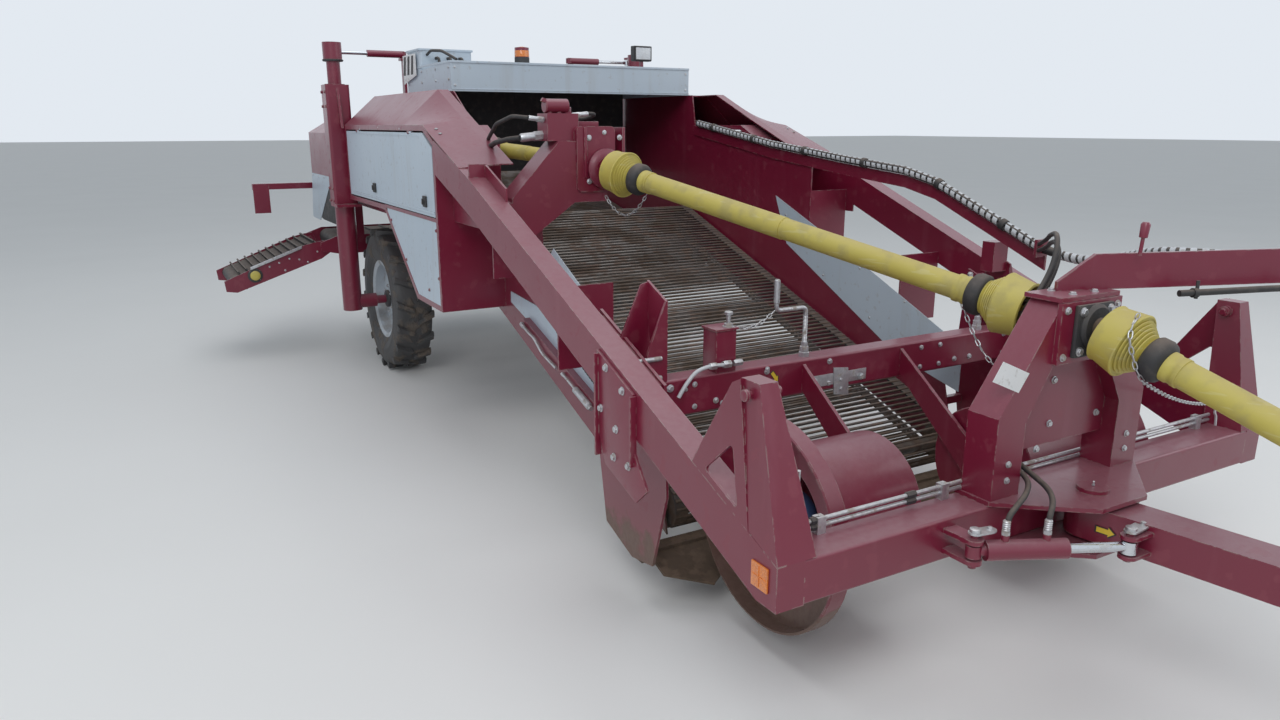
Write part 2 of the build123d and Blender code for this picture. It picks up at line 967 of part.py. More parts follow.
# Folded covers that run from each roof down along the side beam
covers = []
for side, s in SIDES:
    with BuildPart() as cover:
        for rows in zip(cover_rows, cover_rows[1:]):
            faces = []
            for y, eave, ridge in rows:
                points = [
                    (s * half_width, eave),
                    (s * housing_ridge_x, ridge),
                    (s * cover_inner_x, ridge),
                    (s * cover_inner_x, ridge - cover_t),
                    (s * housing_ridge_x, ridge - cover_t),
                    (s * half_width, eave - cover_t),
                ]
                with BuildSketch(crosswise(y)) as section:
                    with BuildLine():
                        Polyline(*points, close=True)
                    make_face()
                faces.append(section.sketch.face())
            loft(faces, ruled=True)
        trim(side_beams[side], housings[side], walls[side])
    covers.append(cover)
save_set("front_covers", covers)

# Doors on each side, hung from their upper edges
for side, s in SIDES:
    with BuildPart() as door:
        outline = [
            (door_front + door_gap, door_low),
            (housing_rear - housing_rim - door_gap, door_low),
            (housing_rear - housing_rim - door_gap, door_high),
            (housing_front + 180 + 20, door_high),
            (door_front + door_gap, door_high - 80),
        ]
        side_sheet(s * (half_width - door_t), s * half_width, outline)
        hinge_x = s * (half_width - door_t / 2)
        for y in hinge_places:
            block(
                hinge_x - door_t,
                hinge_x + door_t,
                y + hinge_half,
                y + 64,
                door_high - hinge_r - 4,
                door_high + hinge_r,
                Mode.SUBTRACT,
            )
            bar((hinge_x, y - hinge_half, door_high), (hinge_x, y + hinge_half, door_high), hinge_r)
            bar(
                (hinge_x, y - hinge_half - 2, door_high),
                (hinge_x, y + hinge_half + 2, door_high),
                hinge_pin_r + pin_play,
                Mode.SUBTRACT,
            )
    save(f"side_door_{side}", door.part)

# Fixed lower panels below the doors
with BuildPart() as lower_panels:
    for side, s in SIDES:
        outline = [
            (housing_front + housing_rim, housing_bottom + housing_rim),
            (housing_toe_y - 22, housing_bottom + housing_rim),
            (housing_slant_y - 55, door_split - 52),
            (housing_slant_y - 55, door_split - 25),
            (housing_front + housing_rim, door_split - 25),
        ]
        side_sheet(s * (half_width - door_t), s * (half_width - 2), outline)
    trim(housings["right"], housings["left"])
save_set("fixed_panels", (linings, lower_panels))

# Rear housings behind the legs
rear_housings = []
for side, s in SIDES:
    wall_x = s * (trough_half + wall_t)
    with BuildPart() as rear_housing:
        profile = [
            (wall_x, housing_ridge - 150),
            (wall_x, rear_beam_z + rear_beam),
            (s * half_width, rear_beam_z + rear_beam),
            (s * half_width, housing_eave - 60),
            (s * (housing_ridge_x + 40), housing_ridge - 150),
        ]
        sheet(crosswise(rear_housing_rear), profile, rear_housing_rear - rear_housing_front)
        with BuildSketch(crosswise(rear_housing_rear)) as inner_face:
            with BuildLine():
                Polyline(*profile, close=True)
            make_face()
            offset(amount=-10, kind=Kind.INTERSECTION, mode=Mode.REPLACE)
        extrude(
            inner_face.sketch,
            amount=rear_housing_rear - rear_housing_front - 10,
            mode=Mode.SUBTRACT,
        )
        trim(walls[side])
    rear_housings.append(rear_housing)
save_set("rear_housings", rear_housings)

# Hood across the machine, a folded sheet with its pale board to the front
with BuildPart() as hood:
    hood_profile = [
        (hood_front, housing_ridge),
        (hood_front, hood_top),
        (hood_rear, hood_top - 40),
        (hood_rear, housing_ridge),
        (hood_rear - hood_sheet, housing_ridge),
        (hood_rear - hood_sheet, hood_top - 40 - hood_sheet),
        (hood_front + hood_sheet, hood_top - hood_sheet),
        (hood_front + hood_sheet, housing_ridge),
    ]
    side_sheet(-hood_half, hood_half, hood_profile)
    for s in (-1, 1):
        side_sheet(
            s * hood_half,
            s * (hood_half - hood_sheet),
            [
                (hood_front, housing_ridge),
                (hood_front, hood_top),
                (hood_rear, hood_top - 40),
                (hood_rear, housing_ridge),
            ],
        )
        side_sheet(
            s * (hood_half - hood_sheet),
            s * (trough_half + wall_t),
            [
                (hood_front, housing_ridge),
                (hood_front, housing_ridge + 6),
                (hood_rear, housing_ridge + 6),
                (hood_rear, housing_ridge),
            ],
        )
save("hood", hood.part)

# Rubber curtain behind the hood, over the crop
with BuildPart() as curtain:
    block(
        -hood_half + hood_sheet + move_gap,
        hood_half - hood_sheet - move_gap,
        hood_rear - hood_sheet - curtain_t,
        hood_rear - hood_sheet,
        curtain_bottom,
        hood_top - 60,
    )
    trim(hood)
save("hood_curtain", curtain.part)

with BuildPart() as valve_box:
    block(
        -trough_half,
        -trough_half + valve_box_width,
        hood_rear - valve_box_depth - 20,
        hood_rear - 20,
        hood_top - 40,
        hood_top + valve_box_height,
    )
    fillet(valve_box.edges().filter_by(Axis.Z), 20)
    trim(hood)
save("valve_box", valve_box.part)

# Work lamp on the hood's front edge and the beacon behind it
with BuildPart() as top_lamps:
    lamp_mid = hood_front + 40
    block(
        work_lamp_x - 65,
        work_lamp_x + 65,
        lamp_mid - 20,
        lamp_mid + 20,
        hood_top + 45,
        hood_top + 135,
    )
    block(work_lamp_x - 10, work_lamp_x + 10, lamp_mid - 10, lamp_mid + 10, hood_top - 4, hood_top + 45)
    bar((beacon_x, beacon_y, hood_top - 22), (beacon_x, beacon_y, hood_top + 60), 12)
    bar((beacon_x, beacon_y, hood_top + 60), (beacon_x, beacon_y, hood_top + 130), beacon_r)
    trim(hood)

# Sleeves of the wheel legs
sleeves = []
for side, s in SIDES:
    with BuildPart() as sleeve:
        low_x = s * leg_x
        block(
            low_x - sleeve_side / 2,
            low_x + sleeve_side / 2,
            axle_y - sleeve_side / 2,
            axle_y + sleeve_side / 2,
            sleeve_bottom,
            sleeve_top,
        )
        fillet(sleeve.edges().filter_by(Axis.Z), 18)
        block(
            s * (leg_x - sleeve_side / 2 - 10),
            s * (leg_x + sleeve_side / 2),
            housing_rear,
            axle_y - sleeve_side / 2 + 5,
            sleeve_bottom,
            sleeve_bottom + 20,
        )
        side_sheet(
            s * (leg_x - 8),
            s * (leg_x + 8),
            [
                (axle_y - sleeve_side / 2 + 2, sleeve_top - 10),
                (axle_y - sleeve_side / 2 + 2, sleeve_top - 260),
                (housing_rear + 6, sleeve_top - 300),
            ],
        )
        bar(
            (low_x, axle_y, sleeve_bottom),
            (low_x, axle_y, sleeve_top),
            leg_r + pin_play,
            Mode.SUBTRACT,
        )
        trim(arch)
    sleeves.append(sleeve)

# Wheel legs that steer in their sleeves, with the stub axle and the steering arm
for side, s in SIDES:
    x = s * leg_x
    inner_end = s * (tyre_x - 110)
    with BuildPart() as leg:
        bar((x, axle_y, axle_z - 60), (x, axle_y, sleeve_top + 5), leg_r)
        bar((x, axle_y, sleeve_top + 5), (x, axle_y, leg_top), leg_neck_r)
        bar((x, axle_y, leg_top - 130), (x, axle_y, leg_top), 66)
        bar((x, axle_y, axle_z), (inner_end, axle_y, axle_z), stub_r)
        bar((x, axle_y, axle_z), (s * (tyre_x + tyre_width / 2 + 20), axle_y, axle_z), 52)
        arm_half = 22
        for fork_z in (steer_ram_z - 42, steer_ram_z + 26):
            block(x - arm_half, x + arm_half, axle_y, axle_y + steer_arm, fork_z, fork_z + 16)
            bar((x, axle_y + steer_arm, fork_z), (x, axle_y + steer_arm, fork_z + 16), 26)
    save(f"wheel_leg_{side}", leg.part)

# Wheel rims with their hubs
for side, s in SIDES:
    hub_plane = Plane(origin=spot(s * tyre_x, axle_y, axle_z), x_dir=(s, 0, 0), z_dir=(0, -s, 0))
    half_rim = tyre_width / 2 - 30
    with BuildPart() as rim:
        with BuildSketch(hub_plane):
            with BuildLine():
                Polyline(
                    (-half_rim, rim_r),
                    (-half_rim + 8, rim_r - 20),
                    (-40, rim_r - 28),
                    (40, rim_r - 28),
                    (half_rim - 8, rim_r - 20),
                    (half_rim, rim_r),
                    (half_rim, rim_r - 12),
                    (half_rim - 12, rim_r - 36),
                    (30, rim_r - 44),
                    (10, 120),
                    (60, 80),
                    (60, stub_r + pin_play),
                    (-60, stub_r + pin_play),
                    (-60, 70),
                    (-6, 118),
                    (16, rim_r - 44),
                    (-half_rim + 12, rim_r - 36),
                    (-half_rim, rim_r - 12),
                    close=True,
                )
            make_face()
        revolve(axis=Axis(hub_plane.origin, (1, 0, 0)))
        with BuildSketch(lengthwise(s * tyre_x - 60)) as stud_holes:
            with Locations((axle_y, axle_z)):
                with PolarLocations(190, 6):
                    Circle(26)
        extrude(stud_holes.sketch, amount=120, mode=Mode.SUBTRACT)
    save(f"wheel_rim_{side}", rim.part)

# Narrow traction tyres with slanted lugs out to the tread's edge
for side, s in SIDES:
    hub_plane = Plane(origin=spot(s * tyre_x, axle_y, axle_z), x_dir=(1, 0, 0), z_dir=(0, -1, 0))
    half = tyre_width / 2
    carcass_r = tyre_r - lug_height
    half_rim = tyre_width / 2 - 30
    with BuildPart() as tyre:
        with BuildSketch(hub_plane):
            with BuildLine():
                Polyline(
                    (-half_rim, rim_r),
                    (-half_rim - 8, rim_r + 22),
                    (-half, rim_r + 100),
                    (-half + 8, carcass_r - 34),
                    (-half + 52, carcass_r),
                    (half - 52, carcass_r),
                    (half - 8, carcass_r - 34),
                    (half, rim_r + 100),
                    (half_rim + 8, rim_r + 22),
                    (half_rim, rim_r),
                    (half_rim - 8, rim_r - 20),
                    (40, rim_r - 28),
                    (-40, rim_r - 28),
                    (-half_rim + 8, rim_r - 20),
                    close=True,
                )
            make_face()
        revolve(axis=Axis(hub_plane.origin, (1, 0, 0)))
        lug_turn = 360 / lug_count
        with BuildPart(mode=Mode.PRIVATE) as lug:
            with BuildSketch(
                Plane(origin=spot(s * tyre_x, axle_y, axle_z + carcass_r - 30), x_dir=(1, 0, 0))
            ) as lug_face:
                with BuildLine():
                    Polyline(
                        (8, -34),
                        (half - 6, 22),
                        (half - 6, 62),
                        (8, 2),
                        close=True,
                    )
                make_face()
            extrude(lug_face.sketch, amount=30 + lug_height - 4)
        facing_lug = lug.part.mirror(Plane.YZ.offset(s * tyre_x - eye_x))
        axle_line = Axis(hub_plane.origin, (1, 0, 0))
        lugs = []
        for step in range(lug_count):
            lugs.append(lug.part.rotate(axle_line, step * lug_turn))
            lugs.append(facing_lug.rotate(axle_line, (step + 0.5) * lug_turn))
        add(lugs)
    save(f"tyre_{side}", tyre.part)

# Steering rams at the tops of the legs, from the arm's pin in to a bracket on the hood
ram_y = axle_y + steer_arm
with BuildPart() as ram_brackets:
    for side, s in SIDES:
        x = s * steer_ram_end_x
        block(x - 30, x + 30, ram_y - 30, ram_y + 30, steer_ram_z - 45, steer_ram_z - 26)
        bar((x, ram_y, steer_ram_z - 45), (x, ram_y, steer_ram_z + 24), 10)
        block(x - 10, x + 10, ram_y - 30, ram_y + 30, arch_z + arch_height, steer_ram_z - 45)
        block(
            x - 30,
            x + 30,
            axle_y - 30,
            ram_y + 30,
            arch_z + arch_height,
            arch_z + arch_height + 14,
        )
save_set("axle_beam", (arch, *sleeves, ram_brackets))

barrels = []
for side, s in SIDES:
    x_in = s * steer_ram_end_x
    x_out = s * leg_x
    ram_plane_low = steer_ram_z - 20
    with BuildPart() as barrel:
        bar((x_in, ram_y, ram_plane_low), (x_in, ram_y, steer_ram_z + 20), 24)
        bar((x_in, ram_y, steer_ram_z), (x_in + s * 270, ram_y, steer_ram_z), 25)
        bar(
            (x_in, ram_y, ram_plane_low - 6),
            (x_in, ram_y, steer_ram_z + 26),
            10 + pin_play,
            Mode.SUBTRACT,
        )
        bar(
            (x_in + s * 60, ram_y, steer_ram_z),
            (x_in + s * 280, ram_y, steer_ram_z),
            13 + pin_play,
            Mode.SUBTRACT,
        )
    barrels.append(barrel)
    with BuildPart() as rod:
        bar((x_out, ram_y, ram_plane_low), (x_out, ram_y, steer_ram_z + 20), 24)
        bar((x_out, ram_y, steer_ram_z), (x_in + s * 130, ram_y, steer_ram_z), 13)
    save(f"steer_rod_{side}", rod.part)
save_set("steer_barrels", barrels)

# Inner cross conveyor, fixed in the rear frame
cross_end_x = rear_beam_x + 60
cross_low = cross_z - cross_side / 2
cross_high = cross_z + cross_side / 2
with BuildPart() as cross_frame:
    for y, inward in ((cross_front, 1), (cross_rear - cheek_t, -1)):
        cheek_outline = [
            (fold_x - fold_boss_r, fold_z + fold_boss_r),
            (fold_x - fold_boss_r, fold_z - fold_boss_r),
            (-cross_hinge_x - 40, cross_low),
            (cross_end_x, cross_low),
            (cross_end_x, cross_high),
            (-cross_hinge_x - 40, cross_high),
        ]
        sheet(crosswise(y + cheek_t), cheek_outline, cheek_t)
        for x in (-rear_beam_x - 30, rear_beam_x + 30):
            block(x - 30, x + 30, y, y + cheek_t, cross_high - 5, rear_beam_z)
        pin_start = y if inward > 0 else y + cheek_t
        pin_end = pin_start + inward * (discharge_inset + cheek_t)
        bar((fold_x, pin_start, fold_z), (fold_x, pin_end, fold_z), fold_pin_r)
    for x in (-cross_hinge_x, cross_inner_x):
        bar((x, cross_front + cheek_t, cross_z), (x, cross_rear - cheek_t, cross_z), cross_roller_r)
save("cross_conveyor_frame", cross_frame.part)

with BuildPart() as cross_belt:
    span = cross_hinge_x + cross_inner_x
    middle = (cross_inner_x - cross_hinge_x) / 2
    with BuildSketch(crosswise(cross_rear - 30)) as belt_face:
        with Locations((middle, cross_z)):
            SlotCenterToCenter(span, 2 * (cross_roller_r + belt_t))
            SlotCenterToCenter(span, 2 * cross_roller_r, mode=Mode.SUBTRACT)
    extrude(belt_face.sketch, amount=cross_rear - cross_front - 60)
save("cross_conveyor_belt", cross_belt.part)

# Outer discharge conveyor, hinged on pins in the inner one's ears
slope_in = radians(discharge_slope)
discharge_plane = Plane(
    origin=spot(fold_x, cross_front + discharge_inset, fold_z),
    x_dir=(-cos(slope_in), 0, -sin(slope_in)),
    z_dir=(0, 1, 0),
)
discharge_width = cross_rear - cross_front - 2 * discharge_inset
with BuildPart() as discharge_frame:
    with BuildSketch(discharge_plane) as cheek:
        with BuildLine():
            Polyline(
                (-40, 38),
                (-40, -60),
                (60, -84),
                (discharge_length, -70),
                (discharge_length + 70, -30),
                (discharge_length + 50, 50),
                (140, 70),
                (40, 56),
                close=True,
            )
        make_face()
        Circle(fold_pin_r + pin_play, mode=Mode.SUBTRACT)
    extrude(cheek.sketch, amount=cheek_t)
    extrude(cheek.sketch.moved(Location((0, discharge_width - cheek_t, 0))), amount=cheek_t)
    with BuildSketch(discharge_plane) as boss_face:
        Circle(fold_boss_r - 4)
        Circle(fold_pin_r + pin_play, mode=Mode.SUBTRACT)
    boss_length = discharge_inset - cheek_t - seat_play
    extrude(boss_face.sketch, amount=-boss_length)
    extrude(boss_face.sketch.moved(Location((0, discharge_width, 0))), amount=boss_length)
    with BuildSketch(discharge_plane) as shaft_faces:
        with Locations((discharge_roller_start, 0), (discharge_length - 30, 0)):
            Circle(discharge_roller_r)
    extrude(shaft_faces.sketch, amount=discharge_width)
save("discharge_frame", discharge_frame.part)

with BuildPart() as discharge_web:
    span = discharge_length - 30 - discharge_roller_start
    with BuildSketch(discharge_plane.offset(cheek_t + 2)) as loop_face:
        with Locations((discharge_roller_start + span / 2, 0)):
            SlotCenterToCenter(span, 2 * discharge_roller_r + 2 * belt_t)
            SlotCenterToCenter(span, 2 * discharge_roller_r, mode=Mode.SUBTRACT)
    extrude(loop_face.sketch, amount=discharge_width - 2 * cheek_t - 4)
    flights = int(span // flight_pitch)
    mid_flight = discharge_roller_r + belt_t + flight_height / 2 - 1
    with BuildSketch(discharge_plane.offset(cheek_t + 6)) as flight_faces:
        for run_side in (1, -1):
            starts = [discharge_roller_start + step * flight_pitch for step in range(flights + 1)]
            with Locations(*[(start, run_side * mid_flight) for start in starts]):
                Rectangle(12, flight_height + 2)
    extrude(flight_faces.sketch, amount=discharge_width - 2 * cheek_t - 12)
save("discharge_web", discharge_web.part)

# Rear lamps on their arms
with BuildPart() as rear_lamps:
    for side, s in SIDES:
        rear_y = rear_housing_rear + rear_overhang
        top_z = rear_beam_z + rear_beam
        block(s * (rear_beam_x + rear_beam), s * lamp_end_x, rear_y - 50, rear_y, top_z - 50, top_z)
        block(s * (lamp_end_x - 130), s * lamp_end_x, rear_y - 58, rear_y - 50, top_z - 250, top_z)
        lamp_x = s * (lamp_end_x - 65)
        bar((lamp_x, rear_y - 50, top_z - 120), (lamp_x, rear_y - 5, top_z - 120), 42)
save_set("lamps", (top_lamps, rear_lamps))

# Gearbox with its valve block, on an inclined box arm from the right side beam
with BuildPart() as gearbox:
    block(
        gear_x - gear_half - 45,
        gear_x + gear_half - 45,
        gear_y - 90,
        gear_y + 110,
        gear_z - 110,
        gear_z + gear_rise,
    )
    fillet(gearbox.edges().filter_by(Axis.Y), 25)
    bar((gear_x, gear_y - 90, gear_z), (gear_x, gear_y - 130, gear_z), 60)
    valve_top = gear_z + gear_rise + 60
    block(gear_x - 290, gear_x - gear_half - 20, gear_y - 60, gear_y + 60, valve_top - 130, valve_top)
save("gearbox", gearbox.part)

with BuildPart() as gear_arm:
    arm_foot_x = -inner_half + 75
    arm_low = gear_z - gear_half - 55
    gear_outline = [
        (arm_foot_x, gear_z - 130),
        (arm_foot_x, gear_z - 390),
        (gear_x - gear_half - 55, arm_low),
        (gear_x + gear_half - 85, arm_low),
        (gear_x + gear_half - 85, gear_z + 20),
        (gear_x - gear_half - 25, valve_top - 130),
        (gear_x - gear_half - 135, valve_top - 130),
    ]
    sheet(crosswise(gear_y + 80), gear_outline, 160)
    foot_rows = [(y, beam_z(y)) for y in (gear_y + 60, gear_y + 20, gear_y - 210)]
    foot_outline = [*foot_rows, *[(y, z + foot_lip) for y, z in reversed(foot_rows)]]
    side_sheet(-inner_half, -inner_half - gusset_plate, foot_outline)
    block(
        -inner_half,
        -half_width + 10,
        gear_y + 50,
        gear_y + 60,
        beam_z(gear_y + 60) - 8,
        beam_z(gear_y + 60) + foot_lip,
    )
    side_sheet(
        -inner_half,
        arm_foot_x,
        [
            (gear_y - 80, gear_z - 330),
            (gear_y - 80, gear_z - 150),
            (gear_y + 80, gear_z - 130),
            (gear_y + 80, gear_z - 330),
        ],
    )
    trim(gearbox, side_beams["right"], walls["right"])
save("gearbox_arm", gear_arm.part)


def guarded_shaft(start, end, tube_r, bell_r, bell_length):
    """A drive shaft in its guard: a tube between two bells, with the joint's yoke at each end."""
    a, b = Vector(*start), Vector(*end)
    step = (b - a).normalized()

    def at(along):
        place = a + step * along
        return (place.X, place.Y, place.Z)

    length = (b - a).length
    bar(start, at(60), 0.32 * bell_r)
    cone(at(40), at(bell_length), bell_r, tube_r)
    bar(at(bell_length - 1), at(length - bell_length + 1), tube_r)
    cone(at(length - bell_length), at(length - 40), tube_r, bell_r)
    bar(at(length - 60), end, 0.32 * bell_r)


# Drive shafts: from the tractor to the bearing, and from the bearing to the gearbox
front_end = (shaft_x + 90, -1350, 790)
with BuildPart() as front_shaft:
    guarded_shaft(front_end, (shaft_x, -bearing_depth / 2 - 8, bearing_z), 42, 108, 190)
    tip = Vector(*front_end)
    along = (Vector(shaft_x, -bearing_depth / 2 - 8, bearing_z) - tip).normalized()
    deep = tip + along * 70
    bar(front_end, (deep.X, deep.Y, deep.Z), 17.5, Mode.SUBTRACT)
    trim(bearing)
save("drive_shaft_front", front_shaft.part)

with BuildPart() as middle_shaft:
    guarded_shaft(
        (shaft_x, shaft_start_y, bearing_z),
        (gear_x, gear_y - 130, gear_z),
        45,
        110,
        200,
    )
    trim(pedestal, bearing, gearbox, hose_arm)
save("drive_shaft_middle", middle_shaft.part)

with BuildPart() as side_shaft:
    guarded_shaft(
        (gear_x, gear_y + 108, gear_z + 30),
        (-trough_half - wall_t, gear_y + 900, gear_z + 90),
        38,
        80,
        120,
    )
    trim(gearbox, gear_arm, walls["right"])
save("drive_shaft_side", side_shaft.part)

# Drawbar with its hitch eye, the ram's ears and the jack's sleeve
turn = radians(drawbar_angle)
ahead = Vector(sin(turn), -cos(turn), 0)
aside = Vector(cos(turn), sin(turn), 0)


def along_drawbar(forward, left, z):
    """A machine place given along and across the drawbar from its pivot."""
    place = Vector(0, pivot_y, 0) + ahead * forward + aside * left
    return (place.X, place.Y, z)


draw_low = hitch_height - drawbar_height / 2
draw_high = hitch_height + drawbar_height / 2
drawbar_plane = Plane(origin=spot(0, pivot_y, draw_low), x_dir=aside, z_dir=(0, 0, 1))
eye_neck = drawbar_length - 150
with BuildPart() as drawbar:
    sheet(
        drawbar_plane,
        [
            (-drawbar_width / 2, 0),
            (drawbar_width / 2, 0),
            (drawbar_width / 2, -eye_neck + 150),
            (45, -eye_neck),
            (-45, -eye_neck),
            (-drawbar_width / 2, -eye_neck + 150),
        ],
        drawbar_height,
    )
    bar((0, pivot_y, draw_low), (0, pivot_y, draw_high), drawbar_width / 2)
    bar(
        (0, pivot_y, beam_bottom + seat_play),
        (0, pivot_y, beam_top - seat_play),
        2 * pivot_pin_r,
    )
    neck_start = along_drawbar(eye_neck - 20, 0, hitch_height)
    neck_end = along_drawbar(drawbar_length - eye_outer_r + 12, 0, hitch_height)
    bar(neck_start, neck_end, 30)
    bar(
        along_drawbar(drawbar_length, 0, hitch_height - eye_thickness / 2),
        along_drawbar(drawbar_length, 0, hitch_height + eye_thickness / 2),
        eye_outer_r,
    )
    ear_gap = ram_eye_height / 2 + move_gap
    for ear_z in (hitch_height + ear_gap, hitch_height - ear_gap - 12):
        bar((ram_eye_x, ram_eye_y, ear_z), (ram_eye_x, ram_eye_y, ear_z + 12), ram_eye_r)
        block(ram_eye_x, 0, ram_eye_y - ram_eye_r, ram_eye_y + ram_eye_r, ear_z, ear_z + 12)
    for boss_z in (hitch_height + ear_gap + 12, hitch_height - ear_gap - 22):
        bar((ram_eye_x, ram_eye_y, boss_z), (ram_eye_x, ram_eye_y, boss_z + 10), ram_pin_r)
    jack_left = drawbar_width / 2 + jack_tube / 2 + 14
    jack_plane = Plane(
        origin=spot(*along_drawbar(jack_reach, jack_left, jack_sleeve_bottom)),
        x_dir=aside,
        z_dir=(0, 0, 1),
    )
    with BuildSketch(jack_plane) as sleeve_face:
        Rectangle(jack_tube, jack_tube)
        Rectangle(jack_leg_tube + 0.4, jack_leg_tube + 0.4, mode=Mode.SUBTRACT)
    extrude(sleeve_face.sketch, amount=jack_sleeve_top - jack_sleeve_bottom)
    with BuildSketch(jack_plane.offset(draw_low - jack_sleeve_bottom)) as bridge_face:
        with Locations((-jack_tube / 2 - 8, 0)):
            Rectangle(18, 60)
    extrude(bridge_face.sketch, amount=drawbar_height)
    bar(
        (0, pivot_y, beam_bottom - steer_plate),
        (0, pivot_y, beam_top + steer_plate),
        pivot_pin_r + pin_play,
        Mode.SUBTRACT,
    )
    bar(
        along_drawbar(drawbar_length, 0, hitch_height - eye_thickness),
        along_drawbar(drawbar_length, 0, hitch_height + eye_thickness),
        eye_bore_r,
        Mode.SUBTRACT,
    )
save("drawbar", drawbar.part)

with BuildPart() as jack_leg:
    with BuildSketch(jack_plane.offset(-jack_sleeve_bottom)) as foot_face:
        Rectangle(jack_foot, jack_foot)
        fillet(foot_face.vertices(), 20)
    extrude(foot_face.sketch, amount=jack_foot_thickness)
    with BuildSketch(jack_plane.offset(-jack_sleeve_bottom)) as leg_face:
        Rectangle(jack_leg_tube, jack_leg_tube)
    extrude(leg_face.sketch, amount=jack_leg_top)
save("jack_leg", jack_leg.part)

# Drawbar ram
foot = (ram_foot_x, ram_foot_y, hitch_height)
eye = (ram_eye_x, ram_eye_y, hitch_height)
ram_run = Vector(*eye) - Vector(*foot)
ram_step = ram_run.normalized()


def along_ram(distance):
    place = Vector(*foot) + ram_step * distance
    return (place.X, place.Y, place.Z)


half_eye = ram_eye_height / 2
with BuildPart() as ram_barrel:
    bar((foot[0], foot[1], foot[2] - half_eye), (foot[0], foot[1], foot[2] + half_eye), ram_eye_r - 4)
    bar(along_ram(0), along_ram(40), 18)
    bar(along_ram(34), along_ram(ram_barrel_length), ram_barrel_r)
    for port in (along_ram(port_foot), along_ram(port_rod)):
        bar(port, (port[0], port[1], port[2] + port_rise), 12)
    bar(along_ram(80), along_ram(ram_barrel_length + 5), ram_rod_r + pin_play, Mode.SUBTRACT)
    bar(
        (foot[0], foot[1], foot[2] - half_eye - 5),
        (foot[0], foot[1], foot[2] + half_eye + 5),
        ram_pin_r + pin_play,
        Mode.SUBTRACT,
    )
save("drawbar_ram_barrel", ram_barrel.part)

with BuildPart() as ram_rod:
    bar(along_ram(215), along_ram(ram_run.length), ram_rod_r)
    bar((eye[0], eye[1], eye[2] - half_eye), (eye[0], eye[1], eye[2] + half_eye), ram_eye_r - 4)
save("drawbar_ram_rod", ram_rod.part)

# Pipes along the front beam, in clamps behind the pedestal's legs
with BuildPart() as beam_pipes:
    pipe_end = half_width - tower_base_width - 20
    pipe_y = beam_depth - fold_radius - pipe_r
    pipe_z = beam_top + 3 * pipe_r + 1
    for z in (pipe_z, pipe_z + 3 * pipe_r):
        bar((-pipe_end, pipe_y, z), (pipe_end, pipe_y, z), pipe_r)
    for x in (-pipe_end + 90, -pedestal_foot_x - 150, pedestal_foot_x + 150, pipe_end - 90):
        block(
            x - 16,
            x + 16,
            pipe_y - 2 * pipe_r,
            pipe_y + 2 * pipe_r,
            beam_top,
            pipe_z + 4.5 * pipe_r,
        )
    trim(pedestal, front_beam, *towers)
save("beam_pipes", beam_pipes.part)

# Hose bundle, clipped along the rail and behind the arm
bundle_rows = [(y, z + bundle_r + 2) for y, z in ((3600, 1839), *rail_rows[1:-1], (clamp_y, 1299))]


def behind_arm(distance):
    """The bundle's place along the hose arm's rear face."""
    return (
        arm_root_x + run_x * distance - run_y * bundle_r,
        arm_root_y + run_y * distance + run_x * bundle_r,
        arm_z - bundle_r - 16,
    )


with BuildPart() as hose_bundle:
    hose([(bundle_x, y, z) for y, z in bundle_rows], bundle_r)
    bar(behind_arm(span_join), behind_arm(arm_length - 70), bundle_r)
    trim(hose_rail)
save("hose_bundle", hose_bundle.part)

# The bundle's free stretch from the rail's clamp over to the arm
span_route = [
    (bundle_x, clamp_y - clamp_t + 1, bundle_rows[-1][1]),
    (831, 640, 1290),
    (800, 470, 1318),
    (722, 315, 1362),
    (640, 170, 1398),
    (620, 22, 1410),
    (690, -92, 1407),
    behind_arm(span_join),
]
with BuildPart() as hose_span:
    hose(span_route, bundle_r - 3)
    trim(hose_rail, hose_bundle)
save("hose_span", hose_span.part)

# Two hoses that hang over the pedestal and down to the drawbar ram's ports
front_route = [
    (bundle_x - 36, clamp_y - clamp_t + 1, 1318),
    (680, 678, 1350),
    (548, 566, 1384),
    (408, 458, 1414),
    (278, 354, 1436),
    (168, 264, 1454),
    (90, 204, 1460),
    (56, 163, 1432),
    (23, 152, 1367),
    (-43, 150, 1279),
    (-109, 148, 1203),
    (-162, 150, 1112),
    (-184, 148, 1005),
    (-190, 132, 890),
    (-187, 78, 776),
    (-206, -30, 748),
    (-246, -112, 744),
    (-302, -172, 734),
]
rear_route = [
    (bundle_x - 36, clamp_y - clamp_t + 1, 1346),
    (690, 690, 1380),
    (560, 580, 1412),
    (420, 472, 1441),
    (290, 368, 1462),
    (170, 272, 1483),
    (82, 198, 1487),
    (36, 160, 1448),
    (2, 150, 1378),
    (-62, 150, 1294),
    (-128, 148, 1218),
    (-184, 150, 1118),
    (-208, 148, 1000),
    (-213, 130, 885),
    (-210, 80, 771),
    (-232, -28, 744),
    (-325, -94, 740),
    (-416, -128, 728),
]
for name, route, along in (
    ("ram_hose_front", front_route, port_rod),
    ("ram_hose_rear", rear_route, port_foot),
):
    port = along_ram(along)
    tip_z = hitch_height + port_rise + seat_play
    with BuildPart() as ram_hose:
        hose([*route, (port[0], port[1], tip_z + 52), (port[0], port[1], tip_z)], hose_r)
        trim(hose_rail)
    save(name, ram_hose.part)
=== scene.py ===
"""Looks for the trailed potato windrower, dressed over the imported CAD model.

Machine places are written as X left of the centreline, Y back from the front beam's face and
Z up from the ground, in metres. spot() turns one into the model's own frame.
"""
from math import cos, pi, radians, sin

import bmesh
import bpy
from mathutils import Matrix, Vector


